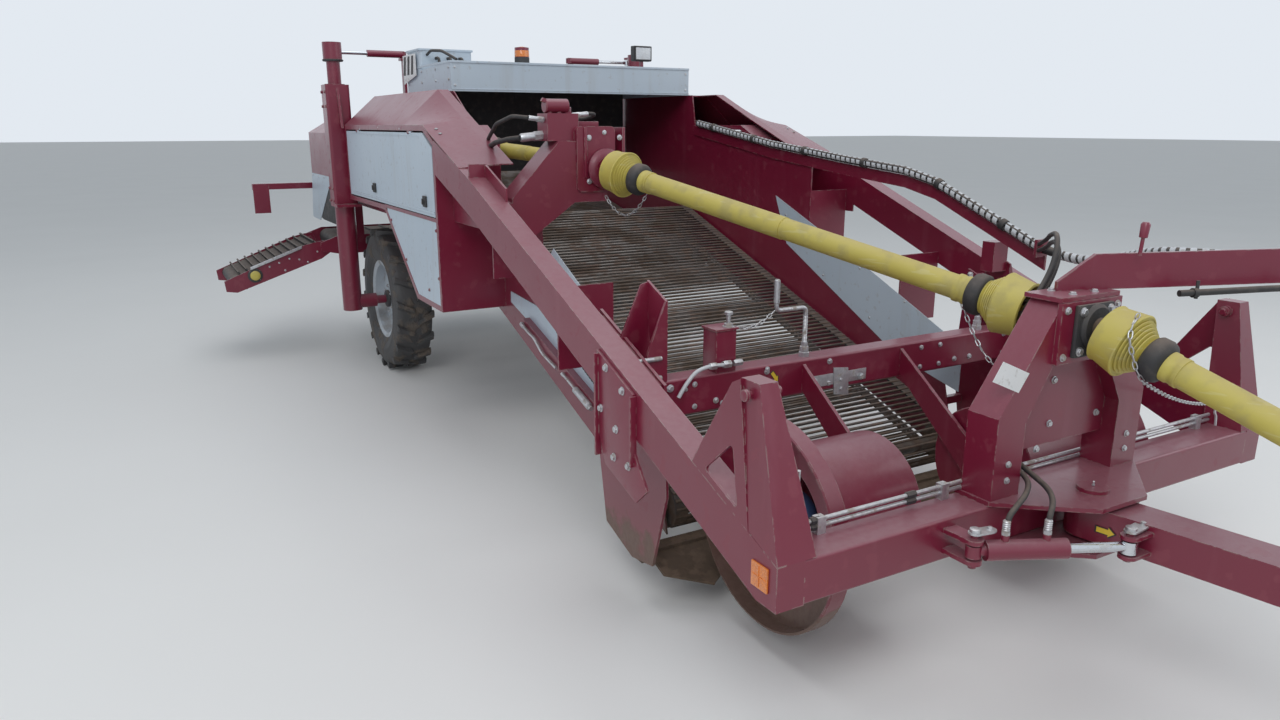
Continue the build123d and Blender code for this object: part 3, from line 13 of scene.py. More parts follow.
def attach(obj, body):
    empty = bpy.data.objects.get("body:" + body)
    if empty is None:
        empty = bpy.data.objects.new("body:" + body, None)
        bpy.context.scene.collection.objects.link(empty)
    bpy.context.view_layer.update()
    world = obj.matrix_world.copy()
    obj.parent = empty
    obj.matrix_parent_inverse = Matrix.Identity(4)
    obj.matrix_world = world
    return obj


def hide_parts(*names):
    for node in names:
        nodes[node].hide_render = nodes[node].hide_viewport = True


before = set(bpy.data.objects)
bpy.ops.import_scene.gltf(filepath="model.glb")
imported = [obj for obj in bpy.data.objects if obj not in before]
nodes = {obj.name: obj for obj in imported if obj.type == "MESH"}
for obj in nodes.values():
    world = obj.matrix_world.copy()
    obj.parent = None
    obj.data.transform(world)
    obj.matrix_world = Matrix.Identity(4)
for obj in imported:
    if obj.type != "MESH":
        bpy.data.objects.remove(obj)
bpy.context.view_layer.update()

EYE = Vector((0.219008, -1.482764, 0.6))
GROUND = -EYE.z
SIDES = (("right", -1), ("left", 1))
ORIGIN, UP = Vector((0, 0, 0)), Vector((0, 0, 1))
LEFT, BACK = Vector((1, 0, 0)), Vector((0, 1, 0))
FORWARD = -BACK
WHEEL = (0.9, 5.2, 0.545)
ROLLER = (0, 0.585, 0.478)
RAIL_X = 0.834
FRAME_SIDE = 1.225
TROUGH_SIDE = 0.850
DRAWBAR_TURN, ARM_TURN = radians(9), radians(19)


def spot(x, y, z):
    """A machine place in the model's frame."""
    return Vector((x, y, z)) - EYE


def across_x(x, pairs):
    """Places in the upright plane at X, from pairs of (y, z)."""
    return [spot(x, y, z) for y, z in pairs]


def across_y(y, pairs):
    """Places in the upright plane at Y, from pairs of (x, z)."""
    return [spot(x, y, z) for x, z in pairs]


# Shader expressions


class Term:
    """A socket's value, which takes part in expressions."""

    def __init__(self, finish, socket):
        self.finish = finish
        self.socket = socket

    def maths(self, operation, *values):
        return self.finish.node("Math", {"operation": operation}, dict(enumerate(values)))

    def __add__(self, other):
        return self.maths("ADD", self, other)

    def __radd__(self, other):
        return self.maths("ADD", other, self)

    def __sub__(self, other):
        return self.maths("SUBTRACT", self, other)

    def __rsub__(self, other):
        return self.maths("SUBTRACT", other, self)

    def __mul__(self, other):
        return self.maths("MULTIPLY", self, other)

    def __rmul__(self, other):
        return self.maths("MULTIPLY", other, self)

    def __pow__(self, other):
        return self.maths("POWER", self, other)

    def above(self, edge, width):
        """0 below the edge and 1 past it, rising smoothly over the width."""
        settings = {"interpolation_type": "SMOOTHSTEP"}
        return self.finish.node(
            "MapRange", settings, {"Value": self, "From Min": edge, "From Max": edge + width}
        )


class Finish:
    """A surface finish, built up on Object coordinates."""

    def __init__(self, name):
        self.material = bpy.data.materials.new(name)
        self.material.use_nodes = True
        self.tree = self.material.node_tree
        self.tree.nodes.clear()
        self.place = self.node("TexCoord", out="Object")
        self.facing = self.node("TexCoord", out="Normal")

    def node(self, kind, settings=None, sockets=None, out=0):
        """Add one node: its settings first, then the values or links of its sockets."""
        made = self.tree.nodes.new("ShaderNode" + kind)
        for name, value in (settings or {}).items():
            setattr(made, name, value)
        for name, value in (sockets or {}).items():
            if isinstance(value, Term):
                self.tree.links.new(value.socket, made.inputs[name])
            elif isinstance(value, (tuple, list)) and len(made.inputs[name].default_value) == 4:
                made.inputs[name].default_value = (*value, 1)
            else:
                made.inputs[name].default_value = value
        return Term(self, made.outputs[out])

    def noise(self, scale, detail=3.0, stretch=None):
        """Soft noise from 0 to 1, stretched along an axis by a scale for each."""
        place = self.place
        if stretch:
            place = self.node("Mapping", None, {"Vector": self.place, "Scale": stretch})
        return self.node("TexNoise", None, {"Vector": place, "Scale": scale, "Detail": detail})

    def cells(self, scale):
        """Distance to the nearest of scattered points."""
        return self.node("TexVoronoi", None, {"Vector": self.place, "Scale": scale})

    def mix(self, share, first, second):
        """A blend of two colours."""
        return self.node(
            "Mix", {"data_type": "RGBA"}, {0: share, 6: first, 7: second}, out=2
        )

    def up(self):
        """How far the surface faces up, from 0 to 1."""
        part = self.node("SeparateXYZ", None, {"Vector": self.facing}, out=2)
        return part.maths("MAXIMUM", part, 0.0)

    def height(self):
        return self.node("SeparateXYZ", None, {"Vector": self.place}, out=2)

    def edges(self, width):
        """1 where an edge is near and 0 on flat ground."""
        round_facing = self.node("Bevel", {"samples": 4}, {"Radius": width})
        true_facing = self.node("NewGeometry", out="Normal")
        facings = {0: round_facing, 1: true_facing}
        alike = self.node("VectorMath", {"operation": "DOT_PRODUCT"}, facings, out="Value")
        return (1 - alike).above(0.004, 0.09)

    def bump(self, height, distance):
        """Relief of full strength, from a height and its distance in metres."""
        return self.node("Bump", None, {"Height": height, "Distance": distance, "Strength": 1.0})

    def done(self, colour, roughness, bump=None, metallic=0.0, **fixed):
        """Close the tree with a Principled surface."""
        sockets = {"Base Color": colour, "Roughness": roughness, "Metallic": metallic}
        if bump:
            sockets["Normal"] = bump
        sockets.update({name.replace("_", " "): value for name, value in fixed.items()})
        shader = self.node("BsdfPrincipled", None, sockets)
        self.close(shader)
        return self.material

    def close(self, shader):
        end = self.tree.nodes.new("ShaderNodeOutputMaterial")
        self.tree.links.new(shader.socket, end.inputs["Surface"])


def weathered(finish, colour, roughness, dust, soil=0.8, dust_and_sheen_tone=(0.37, 0.28, 0.225)):
    """Lay dust on what faces up, in a tone that can also paint a sky reflection on the tops, and
    soil near the ground over a colour and a roughness.
    """
    soil_top = 0.55
    patches = finish.noise(2.3, 5.0)
    specks = finish.noise(46.0, 4.0)
    # Upward faces take the dust tone: real dust, and where the tone is lilac also a painted sky
    # reflection.
    dust_and_sheen = finish.up() ** 2.0 * (patches * 0.6 + specks * 0.6) * dust
    low = 1 - finish.height().above(GROUND + 0.05, soil_top)
    clods = (finish.noise(7.0, 8.0) + low * 0.75).above(0.86, 0.16)
    soiled = clods * low.above(0.02, 0.5) * soil
    film = low * patches * 0.5
    colour = finish.mix(dust_and_sheen, colour, dust_and_sheen_tone)
    colour = finish.mix(film, colour, (0.20, 0.145, 0.10))
    dirt = finish.mix(specks, (0.085, 0.055, 0.038), (0.17, 0.12, 0.082))
    colour = finish.mix(soiled, colour, dirt)
    roughness = roughness + dust_and_sheen * 0.5 + film * 0.3 + soiled * 0.5
    return colour, roughness, soiled * specks


def red_paint():
    finish = Finish("red_paint")
    tone = finish.noise(1.1, 4.0)
    colour = finish.mix(tone, (0.150, 0.005, 0.025), (0.220, 0.010, 0.040))
    streaks = finish.noise(9.0, 4.0, (1.0, 1.0, 0.12)).above(0.56, 0.2)
    colour = finish.mix(streaks * 0.14, colour, (0.34, 0.12, 0.16))
    scuffs = finish.noise(16.0, 9.0).above(0.60, 0.05)
    colour = finish.mix(scuffs * 0.16, colour, (0.30, 0.08, 0.10))
    chips = finish.edges(0.006) * finish.noise(30.0, 6.0).above(0.47, 0.08)
    colour = finish.mix(chips * 0.85, colour, (0.30, 0.23, 0.21))
    roughness = 0.27 + finish.noise(5.0, 5.0) * 0.22 + scuffs * 0.15 + chips * 0.2
    # The pale lilac tone on upward faces is dust together with a painted sky reflection on the
    # tops.
    colour, roughness, mud = weathered(
        finish, colour, roughness, dust=0.40, dust_and_sheen_tone=(0.38, 0.30, 0.32)
    )
    peel = finish.noise(420.0, 2.0)
    relief = finish.bump(peel * 0.12 + mud * 2.5 - chips * 0.5, 0.002)
    return finish.done(colour, roughness, relief, Coat_Weight=0.55, Coat_Roughness=0.22)


def panel_paint():
    finish = Finish("panel_paint")
    tone = finish.noise(1.6, 3.0)
    colour = finish.mix(tone, (0.47, 0.56, 0.65), (0.56, 0.64, 0.72))
    runs = finish.noise(12.0, 5.0, (1.0, 1.0, 0.10)).above(0.53, 0.22)
    colour = finish.mix(runs * 0.28, colour, (0.40, 0.40, 0.40))
    rub = finish.noise(30.0, 8.0).above(0.62, 0.06)
    colour = finish.mix(rub * 0.3, colour, (0.36, 0.34, 0.33))
    worn = finish.edges(0.004) * finish.noise(26.0, 6.0).above(0.5, 0.1)
    colour = finish.mix(worn * 0.6, colour, (0.30, 0.27, 0.26))
    roughness = 0.36 + finish.noise(7.0, 4.0) * 0.18 + rub * 0.2
    colour, roughness, mud = weathered(finish, colour, roughness, dust=0.30, soil=0.7)
    relief = finish.bump(finish.noise(380.0, 2.0) * 0.1 + mud * 2.0, 0.002)
    return finish.done(colour, roughness, relief, Coat_Weight=0.2, Coat_Roughness=0.25)


def guard_plastic():
    finish = Finish("guard_plastic")
    tone = finish.noise(3.2, 4.0)
    colour = finish.mix(tone, (0.50, 0.41, 0.075), (0.60, 0.52, 0.13))
    grime = finish.noise(11.0, 7.0).above(0.50, 0.2)
    colour = finish.mix(grime * 0.38, colour, (0.30, 0.26, 0.15))
    scratches = finish.noise(60.0, 3.0, (0.25, 0.1, 1.0)).above(0.62, 0.05)
    colour = finish.mix(scratches * 0.25, colour, (0.66, 0.62, 0.38))
    roughness = 0.42 + finish.noise(14.0, 4.0) * 0.22 + grime * 0.15
    colour, roughness, mud = weathered(finish, colour, roughness, dust=0.5, soil=0.3)
    relief = finish.bump(finish.noise(210.0, 3.0) * 0.18 + mud, 0.0015)
    return finish.done(colour, roughness, relief)


def black_rubber():
    finish = Finish("black_rubber")
    tone = finish.noise(9.0, 5.0)
    colour = finish.mix(tone, (0.018, 0.018, 0.020), (0.042, 0.041, 0.042))
    haze = finish.noise(24.0, 7.0).above(0.48, 0.25)
    colour = finish.mix(haze * 0.35, colour, (0.13, 0.115, 0.10))
    roughness = 0.5 + finish.noise(18.0, 5.0) * 0.3
    colour, roughness, mud = weathered(finish, colour, roughness, dust=0.5)
    relief = finish.bump(finish.noise(160.0, 4.0) * 0.3 + mud * 2.0, 0.0015)
    return finish.done(colour, roughness, relief)


def tyre_rubber():
    finish = Finish("tyre_rubber")
    tone = finish.noise(6.0, 5.0)
    colour = finish.mix(tone, (0.028, 0.028, 0.030), (0.060, 0.060, 0.062))
    cake = finish.noise(9.0, 9.0).above(0.50, 0.14)
    grains = finish.noise(75.0, 5.0)
    dirt = finish.mix(grains, (0.10, 0.075, 0.055), (0.23, 0.18, 0.135))
    colour = finish.mix(cake * 0.75, colour, dirt)
    film = finish.noise(3.0, 4.0)
    colour = finish.mix(film * 0.45, colour, (0.13, 0.125, 0.125))
    roughness = 0.62 + cake * 0.3
    relief = finish.bump(cake * (grains + 1.2) + finish.noise(120.0, 3.0) * 0.2, 0.004)
    return finish.done(colour, roughness, relief)


def zinc():
    finish = Finish("zinc")
    spangle = finish.cells(70.0)
    colour = finish.mix(spangle, (0.46, 0.47, 0.49), (0.62, 0.63, 0.65))
    stain = finish.noise(34.0, 7.0).above(0.55, 0.12)
    colour = finish.mix(stain * 0.55, colour, (0.26, 0.19, 0.13))
    roughness = 0.30 + finish.noise(25.0, 5.0) * 0.25 + stain * 0.3
    colour, roughness, mud = weathered(finish, colour, roughness, dust=0.35, soil=0.5)
    relief = finish.bump(finish.noise(240.0, 3.0) * 0.2 + mud, 0.001)
    metal = 0.9 - stain * 0.6
    return finish.done(colour, roughness, relief, metallic=metal)


def worked_steel():
    """Rods and blades that soil has polished, with rust and earth between."""
    finish = Finish("worked_steel")
    colour = finish.mix(finish.noise(14.0, 4.0), (0.14, 0.127, 0.118), (0.22, 0.20, 0.185))
    rust = finish.noise(13.0, 8.0).above(0.46, 0.16)
    rust_tone = finish.mix(finish.noise(60.0, 5.0), (0.11, 0.055, 0.030), (0.22, 0.115, 0.062))
    colour = finish.mix(rust * 0.55, colour, rust_tone)
    earth = finish.noise(5.0, 9.0).above(0.46, 0.14)
    colour = finish.mix(earth * 0.8, colour, (0.085, 0.060, 0.042))
    roughness = 0.34 + rust * 0.35 + earth * 0.3
    colour, roughness, mud = weathered(finish, colour, roughness, dust=0.4)
    relief = finish.bump(finish.noise(180.0, 4.0) * 0.35 + earth + mud * 2.0, 0.0015)
    metal = 0.75 - rust * 0.55
    return finish.done(colour, roughness, relief, metallic=metal * (1 - earth * 0.7))


def rim_paint():
    finish = Finish("rim_paint")
    colour = finish.mix(finish.noise(4.0, 4.0), (0.42, 0.47, 0.52), (0.52, 0.57, 0.62))
    grime = finish.noise(8.0, 8.0).above(0.47, 0.2)
    colour = finish.mix(grime * 0.55, colour, (0.23, 0.185, 0.145))
    worn = finish.edges(0.005) * finish.noise(28.0, 5.0).above(0.48, 0.1)
    colour = finish.mix(worn * 0.7, colour, (0.20, 0.12, 0.08))
    roughness = 0.4 + grime * 0.35
    relief = finish.bump(grime * finish.noise(90.0, 4.0) + finish.noise(300.0, 2.0) * 0.1, 0.002)
    return finish.done(colour, roughness, relief, Coat_Weight=0.15, Coat_Roughness=0.3)


def casting():
    finish = Finish("casting")
    colour = finish.mix(finish.noise(12.0, 5.0), (0.028, 0.028, 0.032), (0.060, 0.058, 0.060))
    oil = finish.noise(6.0, 6.0).above(0.5, 0.25)
    colour = finish.mix(oil * 0.4, colour, (0.10, 0.085, 0.065))
    roughness = 0.55 - oil * 0.15 + finish.noise(40.0, 3.0) * 0.15
    colour, roughness, mud = weathered(finish, colour, roughness, dust=0.4)
    relief = finish.bump(finish.noise(130.0, 5.0) * 0.6 + mud, 0.0015)
    return finish.done(colour, roughness, relief)


def chrome_rod():
    finish = Finish("chrome_rod")
    rings = finish.noise(130.0, 2.0)
    colour = finish.mix(rings, (0.58, 0.60, 0.63), (0.68, 0.70, 0.73))
    smear = finish.noise(20.0, 6.0).above(0.55, 0.15)
    colour = finish.mix(smear * 0.3, colour, (0.34, 0.30, 0.26))
    roughness = 0.12 + smear * 0.3 + rings * 0.08
    relief = finish.bump(rings * 0.1 + smear * 0.2, 0.0005)
    return finish.done(colour, roughness, relief, metallic=1.0 - smear * 0.4)


def clear_lens(name, colour_low, colour_high):
    """A moulded lamp or reflector lens with prisms."""
    finish = Finish(name)
    prisms = finish.cells(260.0)
    colour = finish.mix(prisms, colour_low, colour_high)
    film = finish.noise(30.0, 5.0).above(0.52, 0.25)
    colour = finish.mix(film * 0.3, colour, (0.35, 0.27, 0.22))
    roughness = 0.14 + film * 0.3
    relief = finish.bump(prisms, 0.0008)
    return finish.done(colour, roughness, relief, Coat_Weight=0.8, Coat_Roughness=0.05)


def sticker(name, colour_low, colour_high):
    finish = Finish(name)
    colour = finish.mix(finish.noise(20.0, 4.0), colour_low, colour_high)
    grime = finish.noise(40.0, 7.0).above(0.56, 0.12)
    colour = finish.mix(grime * 0.35, colour, (0.30, 0.26, 0.23))
    relief = finish.bump(finish.noise(150.0, 3.0) * 0.1, 0.0005)
    return finish.done(colour, 0.38 + grime * 0.3, relief)


def pale_floor():
    finish = Finish("pale_floor")
    colour = finish.mix(finish.noise(0.7, 3.0), (0.80, 0.80, 0.79), (0.84, 0.84, 0.83))
    shader = finish.node("BsdfPrincipled", None, {"Base Color": colour, "Roughness": 0.9})
    finish.close(shader)
    return finish.material


RED = red_paint()
PANEL = panel_paint()
YELLOW = guard_plastic()
RUBBER = black_rubber()
TYRE = tyre_rubber()
ZINC = zinc()
STEEL = worked_steel()
RIM = rim_paint()
CASTING = casting()
CHROME = chrome_rod()
RED_LENS = clear_lens("red_lens", (0.30, 0.01, 0.01), (0.62, 0.03, 0.02))
AMBER_LENS = clear_lens("amber_lens", (0.62, 0.13, 0.01), (0.90, 0.28, 0.03))
PALE_LENS = clear_lens("pale_lens", (0.62, 0.66, 0.70), (0.85, 0.88, 0.92))
WHITE_PLATE = sticker("white_plate", (0.74, 0.75, 0.76), (0.82, 0.83, 0.84))
YELLOW_MARK = sticker("yellow_mark", (0.72, 0.50, 0.03), (0.80, 0.60, 0.06))
WRAP = sticker("pale_wrap", (0.50, 0.52, 0.55), (0.62, 0.64, 0.67))
CAP_BLUE = sticker("blue_cap", (0.06, 0.13, 0.30), (0.10, 0.20, 0.42))

FINISHES = {
    PANEL: ("side_door_right", "side_door_left", "fixed_panels", "hood", "valve_box"),
    RIM: ("wheel_rim_right", "wheel_rim_left"),
    STEEL: ("digging_share", "web_rollers"),
    ZINC: ("beam_pipes",),
    CHROME: ("drawbar_ram_rod", "steer_rod_right", "steer_rod_left"),
    RUBBER: ("cross_conveyor_belt", "hood_curtain", "discharge_web"),
}
finish_of = {name: material for material, names in FINISHES.items() for name in names}
for name, thing in nodes.items():
    thing.data.materials.clear()
    thing.data.materials.append(finish_of.get(name, RED))


# Shapes


def ring(centre, axis, radius, steps):
    """Places round an axis, from a start that is the same for equal axes."""
    axis = axis.normalized()
    side = axis.orthogonal().normalized()
    up = axis.cross(side)
    turns = (2 * pi * step / steps for step in range(steps))
    return [centre + (side * cos(each) + up * sin(each)) * radius for each in turns]


class Shape:
    """A mesh that grows solid by solid, in the model's frame."""

    def __init__(self):
        self.mesh = bmesh.new()

    def skin(self, rings, bevel=0.0, around=False):
        """Skin over rings of places, closed at its ends or back to its start."""
        part = bmesh.new()
        loops = [[part.verts.new(place) for place in each] for each in rings]
        pairs = list(zip(loops, loops[1:]))
        if around:
            pairs.append((loops[-1], loops[0]))
        else:
            part.faces.new(loops[0])
            part.faces.new(loops[-1])
        for first, second in pairs:
            for here in range(len(first)):
                after = (here + 1) % len(first)
                part.faces.new((first[here], first[after], second[after], second[here]))
        bmesh.ops.recalc_face_normals(part, faces=part.faces)
        if bevel:
            sharp = [edge for edge in part.edges if edge.calc_face_angle(0) > 0.6]
            bmesh.ops.bevel(
                part, geom=sharp, offset=bevel, segments=2, profile=0.7, affect="EDGES",
                clamp_overlap=True,
            )
        joined = bpy.data.meshes.new("part")
        part.to_mesh(joined)
        part.free()
        self.mesh.from_mesh(joined)
        bpy.data.meshes.remove(joined)
        return self

    def box(self, x, y, z, bevel=0.0015):
        """A box between two machine places along each axis."""
        corners = ((x[0], y[0]), (x[1], y[0]), (x[1], y[1]), (x[0], y[1]))
        return self.skin([[spot(a, b, c) for a, b in corners] for c in z], bevel)

    def slab(self, outline, through, bevel=0.0015):
        """A flat outline of places, carried through by a vector."""
        return self.skin([outline, [place + Vector(through) for place in outline]], bevel)

    def lathe(self, profile, start, end, steps=32, around=False):
        """A turned solid, whose profile is (along, radius) from start towards end."""
        axis = (end - start).normalized()
        rings = [ring(start + axis * along, axis, radius, steps) for along, radius in profile]
        return self.skin(rings, around=around)

    def turned(self, profile, where, axis, steps=32, around=False):
        """A turned solid on an axis through a machine place."""
        start = spot(*where)
        return self.lathe(profile, start, start + Vector(axis), steps, around)

    def pipe(self, places, radius, steps=10):
        """A round bar along places, with mitred corners."""
        rings = []
        side = None
        for here, place in enumerate(places):
            before = places[max(here - 1, 0)]
            after = places[min(here + 1, len(places) - 1)]
            axis = (after - before).normalized()
            side = axis.orthogonal() if side is None else side - axis * side.dot(axis)
            side.normalize()
            up = axis.cross(side)
            turns = [2 * pi * step / steps for step in range(steps)]
            rings.append([place + (side * cos(a) + up * sin(a)) * radius for a in turns])
        return self.skin(rings)

    def data(self, name):
        """The mesh, which ends the shape."""
        made = bpy.data.meshes.new(name)
        self.mesh.to_mesh(made)
        self.mesh.free()
        return made

    def piece(self, name, finish, body="chassis", stands_for=(), soft=38):
        return piece(name, self.data(name), finish, body, stands_for, soft)


def piece(name, data, finish, body="chassis", stands_for=(), soft=38):
    """Put a mesh in the scene as one piece that rides on a body."""
    data.materials.clear()
    data.materials.append(finish)
    data.polygons.foreach_set("use_smooth", [True] * len(data.polygons))
    data.set_sharp_from_angle(angle=radians(soft))
    return place_in_scene(bpy.data.objects.new(name, data), body, stands_for)


def place_in_scene(made, body, stands_for):
    """Say which body a piece rides on and the nodes it stands for."""
    bpy.context.scene.collection.objects.link(made)
    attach(made, body)
    if stands_for:
        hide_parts(*stands_for)
    return made


def curve_piece(name, route, radius, finish, stands_for):
    """A smooth hose whose control places are the route's."""
    line = bpy.data.curves.new(name, "CURVE")
    line.dimensions = "3D"
    spline = line.splines.new("NURBS")
    spline.points.add(len(route) - 1)
    for point, place in zip(spline.points, route):
        point.co = (*place, 1)
    spline.order_u = 3
    spline.use_endpoint_u = True
    line.resolution_u = 8
    line.bevel_depth = radius
    line.bevel_resolution = 3
    line.use_fill_caps = True
    line.materials.append(finish)
    return place_in_scene(bpy.data.objects.new(name, line), "chassis", stands_for)


def line_of(curve):
    """The places along a curve piece's own line."""
    bare = curve.data.copy()
    bare.bevel_depth = 0
    holder = bpy.data.objects.new("line", bare)
    line = bpy.data.meshes.new_from_object(holder)
    places = [vertex.co.copy() for vertex in line.vertices]
    bpy.data.objects.remove(holder)
    bpy.data.meshes.remove(line)
    bpy.data.curves.remove(bare)
    return places


def length_of(places):
    """The length of a line of places."""
    return sum((after - before).length for before, after in zip(places, places[1:]))


# Repeats


def repeat_tree():
    """Copies of one shape at a mesh's vertices, turned and sized by what the vertices carry."""
    tree = bpy.data.node_groups.new("repeat", "GeometryNodeTree")
    names = {}
    for name, way, kind in (
        ("Places", "INPUT", "NodeSocketGeometry"),
        ("Shape", "INPUT", "NodeSocketObject"),
        ("Finish", "INPUT", "NodeSocketMaterial"),
        ("Spin", "INPUT", "NodeSocketFloat"),
        ("Seed", "INPUT", "NodeSocketInt"),
        ("Result", "OUTPUT", "NodeSocketGeometry"),
    ):
        names[name] = tree.interface.new_socket(name, in_out=way, socket_type=kind).identifier

    def node(kind, sockets=None, **settings):
        made = tree.nodes.new(kind)
        for name, value in settings.items():
            setattr(made, name, value)
        for name, value in (sockets or {}).items():
            if isinstance(value, bpy.types.NodeSocket):
                tree.links.new(value, made.inputs[name])
            else:
                made.inputs[name].default_value = value
        return made

    given = node("NodeGroupInput").outputs
    shape = node("GeometryNodeObjectInfo", {"Object": given["Shape"]})
    turn = node("GeometryNodeInputNamedAttribute", {"Name": "turn"}, data_type="FLOAT_VECTOR")
    size = node("GeometryNodeInputNamedAttribute", {"Name": "size"}, data_type="FLOAT_VECTOR")
    facing = node("FunctionNodeEulerToRotation", {0: turn.outputs["Attribute"]})
    chance = node("FunctionNodeRandomValue", {"Seed": given["Seed"]}, data_type="FLOAT")
    tree.links.new(given["Spin"], chance.inputs[3])
    spin = node("FunctionNodeAxisAngleToRotation", {"Angle": chance.outputs[1]})
    turned = node(
        "FunctionNodeRotateRotation",
        {"Rotation": facing.outputs[0], "Rotate By": spin.outputs[0]},
        rotation_space="LOCAL",
    )
    copies = node(
        "GeometryNodeInstanceOnPoints",
        {
            "Points": given["Places"],
            "Instance": shape.outputs["Geometry"],
            "Rotation": turned.outputs[0],
            "Scale": size.outputs["Attribute"],
        },
    )
    real = node("GeometryNodeRealizeInstances", {"Geometry": copies.outputs[0]})
    painted = node(
        "GeometryNodeSetMaterial", {"Geometry": real.outputs[0], "Material": given["Finish"]}
    )
    end = node("NodeGroupOutput")
    tree.links.new(painted.outputs[0], end.inputs[0])
    return tree, names


REPEAT, REPEAT_NAMES = repeat_tree()


def repeat(name, shape, places, finish, body="chassis", spin=0.0, seed=1, stands_for=(), soft=38):
    """One piece of many copies: each place is (where, facing, size) or has a side vector too."""
    points = bpy.data.meshes.new("places")
    points.from_pydata([each[0] for each in places], [], [])
    turns = points.attributes.new("turn", "FLOAT_VECTOR", "POINT")
    sizes = points.attributes.new("size", "FLOAT_VECTOR", "POINT")
    for index, (_, facing, size, *side) in enumerate(places):
        facing = Vector(facing).normalized()
        across = Vector(side[0]) if side else facing.orthogonal()
        across = (across - facing * across.dot(facing)).normalized()
        matrix = Matrix((across, facing.cross(across), facing)).transposed()
        turns.data[index].vector = matrix.to_euler()
        sizes.data[index].vector = size if isinstance(size, tuple) else (size, size, size)
    sample = bpy.data.objects.new("sample", shape)
    holder = bpy.data.objects.new("holder", points)
    for each in (sample, holder):
        bpy.context.scene.collection.objects.link(each)
    rule = holder.modifiers.new("repeat", "NODES")
    rule.node_group = REPEAT
    for input_name, value in (
        ("Shape", sample), ("Finish", finish), ("Spin", spin), ("Seed", seed)
    ):
        rule[REPEAT_NAMES[input_name]] = value
    graph = bpy.context.evaluated_depsgraph_get()
    data = bpy.data.meshes.new_from_object(holder.evaluated_get(graph))
    bpy.data.objects.remove(holder)
    bpy.data.objects.remove(sample)
    data.name = name
    return piece(name, data, finish, body, stands_for, soft)


def turned_shape(name, *parts):
    """Turned solids on the Z axis, each a profile and its steps, as a shape to repeat."""
    shape = Shape()
    for profile, steps in parts:
        shape.lathe(profile, ORIGIN, UP, steps)
    return shape.data(name)


def link_shape():
    """A chain link of length 1, along its own Y."""
    shape = Shape()
    rings = []
    for step in range(14):
        turn = 2 * pi * step / 14
        long, wide = 0.38 * sin(turn), 0.17 * cos(turn)
        long += 0.06 if long > 0 else -0.06
        centre = Vector((wide, long, 0))
        along = Vector((-0.17 * sin(turn), 0.44 * cos(turn), 0))
        rings.append(ring(centre, along, 0.065, 6))
    shape.skin(rings, around=True)
    return shape.data("link")


WASHER = (((0, 1.3), (0.22, 1.3), (0.26, 1.22)), 14)
BOLT = turned_shape("bolt", WASHER, (((0.2, 0.98), (0.82, 0.98), (0.92, 0.86)), 6))
NUT = turned_shape(
    "nut", WASHER, (((0.2, 0.9), (0.26, 0.98), (0.98, 0.98), (1.06, 0.88)), 6),
    (((0.9, 0.5), (1.5, 0.5), (1.6, 0.4)), 10),
)
RIVET = turned_shape(
    "rivet", (((-0.1, 1.0), (0.15, 0.98), (0.38, 0.76), (0.5, 0.4), (0.53, 0.1)), 12)
)
ROD = turned_shape("rod", (((-0.5, 0.9), (-0.497, 1.0), (0.497, 1.0), (0.5, 0.9)), 10))
LINK = link_shape()


def hang(start, end, sag, count=24):
    """Places along a line that sags between its ends."""
    places = []
    for step in range(count + 1):
        share = step / count
        drop = UP * (sag * 4 * share * (1 - share))
        places.append(start.lerp(end, share) - drop)
    return places


def rounded(places, reach, steps=5):
    """Places with each inner corner eased into a short bend."""
    eased = [places[0]]
    for before, corner, after in zip(places, places[1:], places[2:]):
        first = corner + (before - corner).normalized() * reach
        last = corner + (after - corner).normalized() * reach
        for step in range(steps + 1):
            share = step / steps
            eased.append(first.lerp(corner, share).lerp(corner.lerp(last, share), share))
    return eased + [places[-1]]


def steps_along(places, pitch):
    """Evenly spaced places along a line, each with the line's direction there."""
    made = []
    left_over = 0.0
    for before, after in zip(places, places[1:]):
        run = after - before
        at = left_over
        while at < run.length:
            made.append((before + run.normalized() * at, run.normalized()))
            at += pitch
        left_over = at - run.length
    return made


def chain(name, places):
    """A chain whose links stand across each other in turn."""
    link = 0.034
    found = []
    for index, (place, along) in enumerate(steps_along(places, link * 0.72)):
        side = along.orthogonal().normalized()
        facing = side if index % 2 else along.cross(side)
        found.append((place, facing, link, along.cross(facing)))
    return repeat(name, LINK, found, ZINC)


# Floor, light and camera


